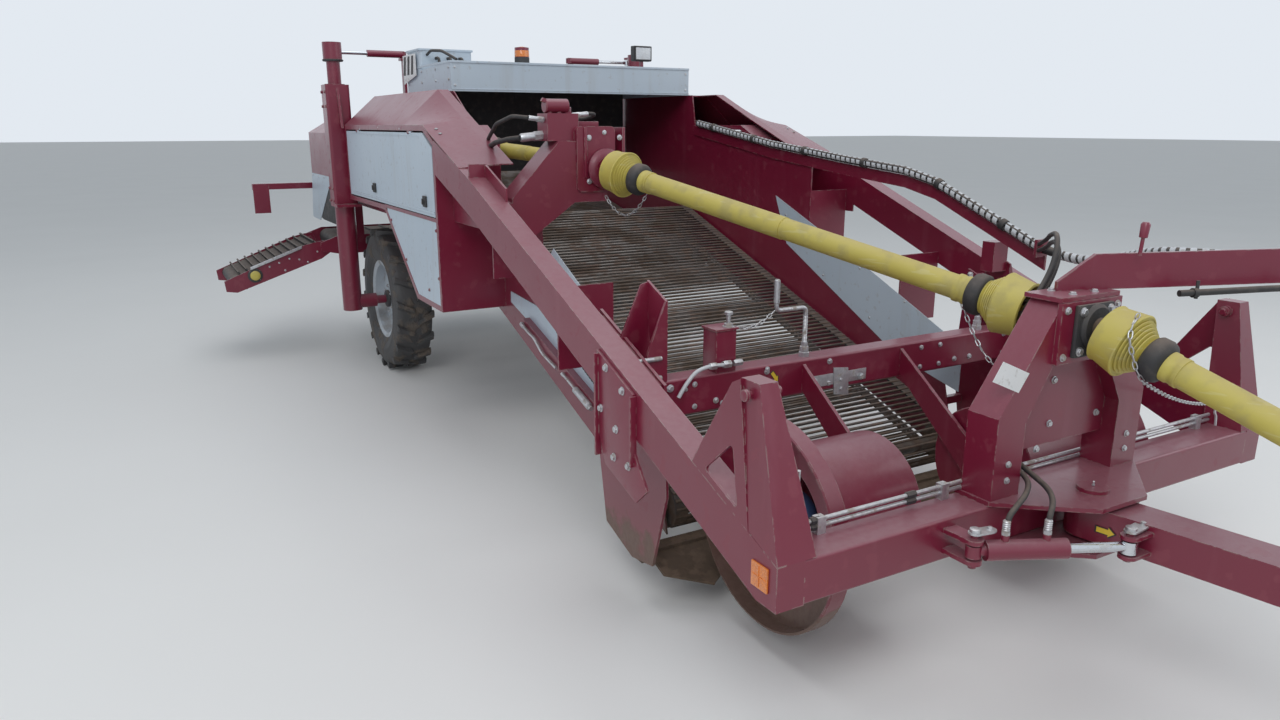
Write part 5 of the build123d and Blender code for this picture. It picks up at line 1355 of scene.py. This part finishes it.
def tyres():
    """Each tyre, its lugs, the valve and the cap."""
    carcass, rim, lugs = 0.517, 0.300, 18
    profile = [
        (0.110, rim), (0.114, rim + 0.010), (0.119, rim + 0.018), (0.118, rim + 0.028),
        (0.123, rim + 0.036), (0.129, rim + 0.055), (0.1375, rim + 0.082), (0.1385, rim + 0.086),
        (0.139, rim + 0.104), (0.1375, rim + 0.108), (0.138, rim + 0.130), (0.136, rim + 0.155),
        (0.132, carcass - 0.034), (0.125, carcass - 0.018), (0.110, carcass - 0.007),
        (0.088, carcass - 0.001), (0.045, carcass + 0.001), (0, carcass + 0.002),
    ]
    x, y, z = WHEEL
    outer = [(x + a, r) for a, r in profile] + [(x - a, r) for a, r in reversed(profile[:-1])]
    inner = [(0.798, rim - 0.020), (0.860, rim - 0.028), (0.940, rim - 0.028), (1.002, rim - 0.020)]
    low = ((0.006, -0.038), (0.137, 0.018), (0.137, 0.066), (0.006, 0.006))
    top = ((0.010, -0.032), (0.132, 0.023), (0.132, 0.060), (0.010, 0.001))
    stem = ((0, 0.005), (0.020, 0.005), (0.021, 0.0035), (0.034, 0.0035))
    cap = ((0, 0.060), (0.006, 0.066), (0.022, 0.064), (0.028, 0.052), (0.030, 0.030))
    for side, s in SIDES:
        body, axle = f"wheel_{side}", LEFT * s
        tyre = Shape().turned(outer + inner, (0, y, z), axle, 72, around=True)
        tyre.piece(f"carcass_{side}", TYRE, body, [f"tyre_{side}"], soft=50)
        for half, way, ahead in (("outer", 1, 0.0), ("inner", -1, 0.5)):
            levels = ((low, -0.024), (low, 0.0), (top, 0.0245))
            rings = [[Vector((way * a, b, c)) for a, b in outline] for outline, c in levels]
            lug = Shape().skin(rings, bevel=0.004).data("lug")
            places = []
            for step in range(lugs):
                turn = 2 * pi * (step + ahead) / lugs
                radial = Vector((0, -sin(turn), cos(turn)))
                places.append((spot(s * x, y, z) + radial * carcass, radial, 1.0, LEFT))
            repeat(f"lugs_{half}_{side}", lug, places, TYRE, body, soft=30)
        valve = Shape().turned(stem, (s * 0.945, y, z + 0.262), axle, 12)
        valve.turned(cap, (s * 0.960, y, z), axle, 28).piece(f"valve_and_cap_{side}", CASTING, body)


tyres()


# Depth rollers, as hollow stepped drums on their hubs


def rollers():
    """Each drum with its spokes, its cap and its bolts."""
    y, z = ROLLER[1:]
    drum_profile = (
        (0.300, 0.052), (0.300, 0.246), (0.304, 0.250), (0.751, 0.250), (0.765, 0.391),
        (0.769, 0.395), (0.831, 0.395), (0.835, 0.391), (0.835, 0.385), (0.776, 0.385),
        (0.762, 0.240), (0.440, 0.240), (0.436, 0.078), (0.640, 0.074), (0.640, 0.052),
    )
    hub = (
        (0.640, 0.050), (0.642, 0.080), (0.650, 0.086), (0.690, 0.086), (0.700, 0.078),
        (0.730, 0.074), (0.734, 0.080), (0.770, 0.080), (0.778, 0.072), (0.812, 0.066),
        (0.822, 0.052), (0.825, 0.030),
    )
    spoke = ((0.437, 0.074), (0.620, 0.074), (0.480, 0.241), (0.437, 0.241))
    for side, s in SIDES:
        body, axle = f"roller_{side}", LEFT * s
        drum = Shape().turned(drum_profile, ROLLER, axle, 72, around=True)
        for quarter in range(4):
            turn = pi * (quarter + 0.5) / 2
            out, flat = Vector((0, cos(turn), sin(turn))), Vector((0, -sin(turn), cos(turn)))
            face = [spot(s * a, y, z) + out * reach - flat * 0.004 for a, reach in spoke]
            drum.slab(face, flat * 0.008)
        drum.piece(f"drum_{side}", RED, body, [f"depth_roller_{side}"])
        Shape().turned(hub, ROLLER, axle).piece(f"roller_cap_{side}", CAP_BLUE, body)
        bolts = rows(axle, 0.008, circle_of(s * 0.4385, ROLLER, 0.130, 6))
        fasteners(f"roller_bolts_{side}", BOLT, bolts, ZINC, body, seed=8)


rollers()


# Uprights, beam joints and side details, the same on both sides


def beam_joint(side, s):
    """The plate that joins the side beam to the front, with its flanges and bolts."""
    upright = ((0.944, 0.905), (1.090, 0.960), (1.092, 1.026), (0.985, 1.262), (0.944, 1.272))
    flange = Shape().slab(across_y(1.182, [(s * x, z) for x, z in upright]), (0, 0.008, 0), 0.002)
    flange.piece(f"upright_flange_{side}", RED)
    outline = (
        (0.800, 0.960), (1.070, 1.062), (1.100, 0.830), (1.010, 0.640), (0.780, 0.570),
        (0.700, 0.640), (0.800, 0.760),
    )
    face = s * FRAME_SIDE
    joint = Shape().slab(across_x(face, outline), (s * 0.010, 0, 0), 0.002)
    for y, low, high in ((1.062, 0.66, 1.050), (0.795, 0.70, 0.955)):
        joint.box((face, s * 1.250), (y - 0.005, y + 0.005), (low, high), 0.002)
    joint.piece(f"beam_joint_{side}", RED)
    bolts = (
        (0.995, 1.010), (0.873, 0.955), (1.039, 0.847), (0.921, 0.800), (0.830, 0.690),
        (0.938, 0.689),
    )
    bolts = rows(LEFT * s, 0.012, [(s * 1.235, y, z) for y, z in bolts])
    fasteners(f"beam_joint_bolts_{side}", BOLT, bolts)
    ties = Shape()
    for z in (1.000, 0.925):
        ties.turned(((0, 0.009), (0.150, 0.009)), (s * 1.125, 1.045, z), -LEFT * s, 12)
    ties.piece(f"tie_bolts_{side}", ZINC)


def wall_details(side, s):
    """The pale strip, the seam, the pipe and the web's tensioner on a side wall."""
    strip = (
        (1.600, 0.545), (1.620, 0.665), (2.330, 0.930), (2.860, 0.960), (2.865, 0.900),
        (2.365, 0.770), (1.768, 0.578),
    )
    strip = Shape().slab(across_x(s * 0.858, strip), (s * 0.004, 0, 0), 0.001)
    strip.piece(f"wall_strip_{side}", PANEL)
    seam = Shape()
    start, end = across_x(s * 0.864, ((2.240, 0.855), (1.700, 0.640)))
    along = (end - start).normalized()
    bead, beads = ((0, 0.004), (0.0, 0.009), (0.012, 0.009), (0.015, 0.004)), 24
    for step in range(beads):
        place = start.lerp(end, step / beads)
        seam.lathe(bead, place, place + along, 6)
    seam.piece(f"wall_seam_{side}", RUBBER)
    bends = ((2.600, 0.832), (2.504, 0.802), (2.435, 0.790), (2.330, 0.728), (2.161, 0.690))
    places = across_x(s * 0.912, bends)
    pipe = Shape().pipe(rounded(places, 0.030), 0.007)
    pipe.lathe(((0, 0.011), (0.040, 0.011)), places[0], places[1], 6)
    pipe.piece(f"side_pipe_{side}", ZINC)
    turnbuckle = (
        (0, 0.009), (0.016, 0.009), (0.018, 0.006), (0.150, 0.006), (0.152, 0.015),
        (0.156, 0.017), (0.310, 0.017), (0.314, 0.011), (0.330, 0.011),
    )
    high, low = across_x(s * 0.912, ((2.091, 0.680), (1.782, 0.590)))
    Shape().lathe(turnbuckle, high, low, 16).piece(f"tensioner_{side}", ZINC)


for side, s in SIDES:
    beam_joint(side, s)
    wall_details(side, s)


# The tool beam's post, bracket, pipe and bolts


def hexagons(shape, sizes, y, z, ease):
    """Eased hexagons on a pipe along X, from (start, width, radius) sizes."""
    for x, width, radius in sizes:
        flat = [(ease, radius), (width - ease, radius)]
        profile = [(0, radius - 0.002), *flat, (width, radius - 0.002)]
        shape.turned(profile, (x, y, z), LEFT, 6)
    return shape


def tool_beam_parts():
    """What stands on the tool beam between its bolts."""
    post = Shape().box((-0.721, -0.626), (1.052, 1.146), (0.903, 1.072), 0.004)
    post.box((-0.728, -0.618), (1.046, 1.150), (1.072, 1.081), 0.002).piece("screw_post", RED)
    screw = (
        (0, 0.024), (0.003, 0.024), (0.004, 0.018), (0.014, 0.018), (0.015, 0.009), (0.048, 0.009),
        (0.049, 0.017), (0.060, 0.017), (0.062, 0.013),
    )
    Shape().turned(screw, (-0.650, 1.075, 1.081), UP, 12).piece("post_screw", ZINC)
    plate = ((-0.119, 0.850), (-0.037, 0.840), (-0.027, 0.717), (-0.110, 0.730))
    bracket = Shape().slab(across_y(1.044, plate), (0, 0.006, 0), 0.002)
    bracket.box((-0.240, 0.070), (1.047, 1.053), (0.775, 0.825), 0.002)
    bracket.piece("screw_bracket", ZINC)
    bolts = []
    for x, z, radius in (
        (-0.218, 0.800, 0.012), (0.040, 0.790, 0.012), (-0.862, 0.861, 0.006),
        (-0.934, 0.876, 0.012), (-0.690, 0.780, 0.010), (-0.473, 0.890, 0.009),
    ):
        bolts += rows(FORWARD, radius, [(x, 1.046, z)])
    bolts += rows(FORWARD, 0.007, [(-0.077, 1.043, 0.793), (-0.074, 1.043, 0.751)])
    fasteners("tool_beam_bolts", BOLT, bolts, seed=9)
    bends = ((-0.700, 0.942), (-0.766, 0.945), (-0.827, 0.932), (-0.873, 0.885), (-0.905, 0.838))
    pipe = bent_rod(Shape(), [(x, 1.032, z) for x, z in bends], 0.025, 0.008)
    pipe.piece("tool_beam_pipe", WRAP)
    nuts = ((-0.762, 0.030, 0.015), (-0.700, 0.036, 0.016), (-0.650, 0.040, 0.014))
    hexagons(Shape(), nuts, 1.034, 0.942, 0.003).piece("tool_beam_couplings", ZINC)


tool_beam_parts()


# Bearing, chain hook, hose arm and beam pipes


def front_details():
    """The bearing's housing, the chain hook, pipe joints and tower pins."""
    housing = Shape().box((-0.090, 0.090), (-0.034, -0.018), (1.128, 1.300), 0.012)
    boss = ((0, 0.070), (0.008, 0.074), (0.020, 0.074), (0.030, 0.064))
    housing.turned(boss, (0, -0.018, 1.225), FORWARD, 36).piece("bearing_housing", CASTING)
    bolts = rows(FORWARD, 0.012, [(x, -0.034, z) for x in (-0.068, 0.068) for z in (1.150, 1.278)])
    fasteners("bearing_bolts", BOLT, bolts, seed=10)
    x, y, z = CHAIN_HOOK
    bends = ((0, 0), (0, 0.045), (0.014, 0.060), (0.020, 0.100))
    hook = bent_rod(Shape(), [(x + dx, y, z - drop) for dx, drop in bends], 0.008, 0.005, 8)
    hook.turned(((0, 0.009), (0.030, 0.009)), CHAIN_HOOK, -UP, 8).piece("chain_hooks", ZINC)
    couplings = Shape()
    for x, width in ((-1.010, 0.040), (-0.620, 0.040), (0.500, 0.036), (0.960, 0.036)):
        for z in (0.692, 0.713):
            hexagons(couplings, [(x, width, 0.012)], 0.123, z, 0.002)
    couplings.piece("pipe_couplings", CASTING)
    rise = (
        (-1.064, 0.123, 0.713), (-1.078, 0.118, 0.720), (-1.082, 0.100, 0.840),
        (-1.088, 0.092, 0.900),
    )
    bent_rod(Shape(), rise, 0.010, 0.006, 8).piece("beam_pipe_end", ZINC)
    pin = (
        (0, 0.012), (0.002, 0.017), (0.012, 0.018), (0.014, 0.012), (0.104, 0.012),
        (0.106, 0.020), (0.116, 0.020), (0.118, 0.012), (0.128, 0.011),
    )
    pins = Shape()
    for s in (-1, 1):
        pins.turned(pin, (s * 1.240, 0.162, 1.126), -LEFT * s, 20)
    pins.piece("tower_pins", RED)


def hose_arm_details():
    """The arm's single hose with its straps, the lever and the bolts."""
    bends = (
        (0.311, -0.108, 1.316), (0.407, -0.145, 1.318), (0.645, -0.228, 1.322),
        (0.907, -0.318, 1.318), (1.080, -0.374, 1.322),
    )
    hose = bent_rod(Shape(), bends, 0.04, 0.011, 12)
    start, end = spot(*bends[0]), spot(*bends[-1])
    for share in (0.06, 0.55):
        hose.lathe(((0, 0.016), (0.018, 0.016)), start.lerp(end, share), end, 14)
    hose.piece("arm_hose", RUBBER)
    straps = Shape()
    for share in (0.08, 0.56):
        place = start.lerp(end, share)
        straps.lathe(((-0.02, 0.006), (0.040, 0.006)), place, place + UP, 8)
    straps.piece("arm_hose_straps", CASTING)
    lever = ((0, 0.006), (0.056, 0.006), (0.058, 0.013), (0.100, 0.015), (0.108, 0.010))
    lever = Shape().lathe(lever, spot(0.192, -0.030, 1.440), spot(0.196, -0.034, 1.540), 14)
    lever.piece("red_lever", RED)
    ahead = Vector((-sin(ARM_TURN), -cos(ARM_TURN), 0))
    bolts = [
        (-0.040 + along * cos(ARM_TURN), 0.100 - along * sin(ARM_TURN), z)
        for along, z in ((0.220, 1.374), (0.080, 1.374), (1.020, 1.400))
    ]
    fasteners("arm_bolts", BOLT, rows(ahead, 0.011, bolts), seed=11)


front_details()
hose_arm_details()


# Gearbox fittings and its hoses


def gearbox_details():
    """The gearbox's boss, the valve above it and three hoses."""
    x, face = -0.560, 2.300
    corners = [(x + dx, face, z) for dx in (-0.085, 0.085) for z in (1.580, 1.790)]
    bolts = rows(FORWARD, 0.011, corners)
    bolts += rows(FORWARD, 0.009, [(x, face, 1.555), (x, face, 1.815)])
    fasteners("gearbox_bolts", BOLT, bolts, seed=12)
    boss = ((0, 0.092), (0.010, 0.098), (0.022, 0.098), (0.030, 0.082), (0.038, 0.070))
    boss = Shape().turned(boss, (x, face, 1.640), FORWARD, 36)
    for dx in (-0.105, 0.105):
        boss.box((x + dx - 0.008, x + dx + 0.008), (2.292, 2.420), (1.600, 1.840), 0.003)
    boss.piece("gearbox_boss", RED)
    body = ((0, 0.030), (0.004, 0.034), (0.120, 0.034), (0.124, 0.028))
    valve = Shape().turned(body, (-0.840, 2.390, 1.940), LEFT, 20)
    for port in (-0.815, -0.765, -0.715):
        valve.turned(((0, 0.016), (0.030, 0.016), (0.032, 0.012)), (port, 2.385, 1.903), UP, 6)
    valve.box((-0.700, -0.560), (2.360, 2.420), (1.843, 1.868), 0.003)
    blade = ((-0.860, 1.962), (-0.850, 1.978), (-0.700, 1.912), (-0.708, 1.898))
    valve.slab(across_y(2.372, blade), (0, 0.018, 0), 0.002).piece("valve_parts", RED)
    ends, hoses = Shape(), Shape()
    for start, radius, hose_radius, bends in (
        (
            (-0.836, 2.400, 1.803), 0.024, 0.013,
            (
                (-0.962, 2.405, 1.790), (-0.992, 2.470, 1.784), (-1.000, 2.640, 1.765),
                (-0.960, 2.860, 1.735), (-0.920, 3.010, 1.715),
            ),
        ),
        (
            (-0.852, 2.370, 1.875), 0.014, 0.010,
            (
                (-0.930, 2.372, 1.884), (-0.985, 2.440, 1.892), (-1.000, 2.620, 1.855),
                (-0.960, 2.850, 1.780), (-0.900, 3.010, 1.745),
            ),
        ),
        (
            (-0.690, 2.395, 1.895), 0.014, 0.009,
            (
                (-0.600, 2.398, 1.905), (-0.560, 2.410, 1.905), (-0.540, 2.450, 1.895),
                (-0.580, 2.490, 1.880), (-0.660, 2.480, 1.880), (-0.700, 2.450, 1.878),
            ),
        ),
    ):
        start, end = spot(*start), spot(*bends[0])
        run = (end - start).length
        ends.lathe(((0, radius), (run * 0.45, radius)), start, end, 6)
        sleeve = ((run * 0.45, radius * 0.82), (run * 0.95, radius * 0.86), (run, radius * 0.7))
        ends.lathe(sleeve, start, end, 16)
        bent_rod(hoses, bends, 0.022, hose_radius)
    ends.piece("gearbox_hose_ends", ZINC)
    hoses.piece("gearbox_hoses", RUBBER)


gearbox_details()


# Steering legs and hood


def leg_and_hood_details():
    """Collars and bolts of the legs, and the hood's hoses and edges."""
    collar = ((0, 0.068), (0.006, 0.072), (0.012, 0.072), (0.018, 0.058))
    for side, s in SIDES:
        cap = Shape().turned(collar, (s * 1.240, WHEEL[1], 2.290), UP)
        cap.piece(f"leg_collar_{side}", CASTING, f"leg_{side}")
        across = (WHEEL[1] - 0.055, WHEEL[1] + 0.055)
        bolts = [(s * 1.324, y, z) for y in across for z in (1.31, 1.40, 1.98, 2.08)]
        fasteners(f"sleeve_bolts_{side}", BOLT, rows(LEFT * s, 0.010, bolts), RED, seed=13)
    loops = bent_rod(
        Shape(),
        (
            (-0.800, 4.376, 2.300), (-0.812, 4.250, 2.318), (-0.822, 4.000, 2.300),
            (-0.815, 3.850, 2.262), (-0.800, 3.780, 2.236),
        ),
        0.04, 0.009,
    )
    for x in (-0.74, -0.66, -0.58):
        stub = ((x, 4.378, 2.280), (x, 4.330, 2.280), (x, 4.310, 2.262), (x, 4.310, 2.227))
        bent_rod(loops, stub, 0.018, 0.010)
    loops.piece("hood_hoses", RUBBER)
    edges = Shape().box((-0.850, 0.850), (3.7475, 3.751), (2.060, 2.066), 0.001)
    edges.box((-0.852, 0.852), (3.745, 3.757), (2.215, 2.229), 0.003)
    for s in (-1, 1):
        edges.box((s * 0.848, s * 0.853), (3.755, 4.695), (2.215, 2.229), 0.002)
    edges.box((-0.856, -0.484), (4.374, 4.686), (2.326, 2.340), 0.003).piece("hood_edges", PANEL)


leg_and_hood_details()


# Discharge, cross conveyor and the sheets under the rear housings


def discharge_details():
    """The discharge's bearing, bolts and edge, and the belt's cleats."""
    x, y, z = -1.829, 5.921, 0.692
    flange = ((0, 0.050), (0.004, 0.056), (0.008, 0.056), (0.012, 0.046), (0.014, 0.030))
    cap = ((0.010, 0.034), (0.014, 0.038), (0.026, 0.037), (0.032, 0.030), (0.034, 0.016))
    for name, profile, finish in (
        ("discharge_bearing", flange, CASTING), ("discharge_bearing_cap", cap, YELLOW)
    ):
        Shape().turned(profile, (x, y, z), FORWARD, 30).piece(name, finish, "discharge")
    along = (
        (-1.715, 0.752), (-1.640, 0.778), (-1.560, 0.806), (-1.485, 0.795), (-1.340, 0.850),
        (-1.600, 0.715), (-1.420, 0.770),
    )
    bolts = rows(FORWARD, 0.006, [(a, 5.920, b) for a, b in along])
    turns = (0.8, 2.4, 3.9, 5.5)
    around = [(x + 0.048 * cos(turn), 5.914, z + 0.048 * sin(turn)) for turn in turns]
    bolts += rows(FORWARD, 0.004, around)
    fasteners("discharge_bolts", BOLT, bolts, ZINC, "discharge", seed=14)
    angle = (
        (5.900, 0.738), (5.925, 0.738), (5.925, 0.744), (5.906, 0.744), (5.906, 0.762),
        (5.900, 0.762),
    )
    edge = Shape().slab(across_x(-1.860, angle), (0.400, 0, 0.1456), 0.001)
    edge.piece("discharge_edge", ZINC, "discharge")
    levels = ((0.012, 0.29, -0.002), (0.008, 0.29, 0.012), (0.006, 0.29, 0.014))
    cleats = [(spot(-0.825 + 0.15 * step, 6.26, 0.963), UP, 1.0, LEFT) for step in range(12)]
    repeat("belt_cleats", block_shape("cleat", levels, 0.001), cleats, RUBBER)


def rear_sheets():
    """The pale sheet and the dark flap on each side."""
    outline = ((5.660, 1.455), (6.480, 1.455), (6.600, 1.080), (6.570, 1.070), (6.270, 1.070))
    fold = ((6.480, 1.455), (6.600, 1.080), (6.606, 1.084), (6.486, 1.455))
    rubber = ((5.330, 1.440), (5.700, 1.440), (6.240, 1.095), (6.150, 1.085), (5.370, 1.090))
    for side, s in SIDES:
        sheet = Shape().slab(across_x(s * 1.2255, outline), (s * 0.003, 0, 0), 0.001)
        sheet.slab(across_x(s * 1.2285, fold), (-s * 0.022, 0, 0), 0.001)
        sheet.piece(f"rear_sheet_{side}", PANEL)
        flap = Shape().slab(across_x(s * 1.2185, rubber), (s * 0.006, 0, 0), 0.002)
        flap.box((s * 1.2245, s * 1.2280), (5.340, 5.640), (1.425, 1.447), 0.001)
        flap.piece(f"rear_flap_{side}", RUBBER)
        along = (5.370, 5.470, 5.570, 5.720, 5.960, 6.200, 6.440)
        bolts = rows(LEFT * s, 0.006, [(s * 1.2285, y, 1.437) for y in along])
        fasteners(f"rear_sheet_bolts_{side}", BOLT, bolts, ZINC, seed=15)


discharge_details()
rear_sheets()


# Parking jack's gear, crank and pin


def jack_fittings():
    """The gear on the outer side, its crank, the ring pin and foot bolts."""
    ahead = Vector((sin(DRAWBAR_TURN), -cos(DRAWBAR_TURN), 0))
    out = Vector((cos(DRAWBAR_TURN), sin(DRAWBAR_TURN), 0))
    top = spot(0.268, -0.969, 0.745)

    def place(a, b, up):
        """A place by its way ahead, out and up from the sleeve's top."""
        return top + ahead * a + out * b + UP * up

    corners = ((-0.030, -0.084), (0.030, -0.084), (0.030, -0.010), (-0.030, -0.010))
    gear = Shape().slab([place(a, 0.040, c) for a, c in corners], out * 0.036, 0.006)
    shaft, grip = -0.046, -0.066
    start = place(0, 0.074, shaft)
    boss = ((0, 0.024), (0.004, 0.027), (0.014, 0.027), (0.020, 0.018))
    gear.lathe(boss, start, start + out, 24).piece("jack_gear", RED, "drawbar")
    bends = [
        place(0, 0.090, shaft), place(0, 0.128, shaft), place(-0.130, 0.128, grip),
        place(-0.130, 0.220, grip),
    ]
    crank = Shape().pipe(rounded(bends, 0.018), 0.008, 12)
    start = place(-0.130, 0.142, grip)
    sleeve = ((0, 0.0085), (0.003, 0.014), (0.084, 0.014), (0.088, 0.010))
    crank.lathe(sleeve, start, start + out, 18).piece("jack_crank", ZINC, "drawbar")
    start = place(0.062, 0, -0.240)
    head = ((0, 0.010), (0.002, 0.014), (0.010, 0.014), (0.012, 0.0085), (0.0225, 0.0085))
    pin = Shape().lathe(head, start, start - ahead, 16)
    turns = [pi * 2 * step / 14 for step in range(13)]
    ring_places = [
        place(0.064, 0.020 * cos(turn) - 0.020, -0.252 + 0.020 * sin(turn)) for turn in turns
    ]
    pin.pipe(ring_places, 0.0025, 8).piece("jack_pin", ZINC, "drawbar")
    shoe = [tuple(place(a, b, -0.733) + EYE) for a in (-0.080, 0.080) for b in (-0.080, 0.080)]
    fasteners("jack_foot_bolts", BOLT, rows(UP, 0.008, shoe), ZINC, "jack_leg", seed=16)


jack_fittings()
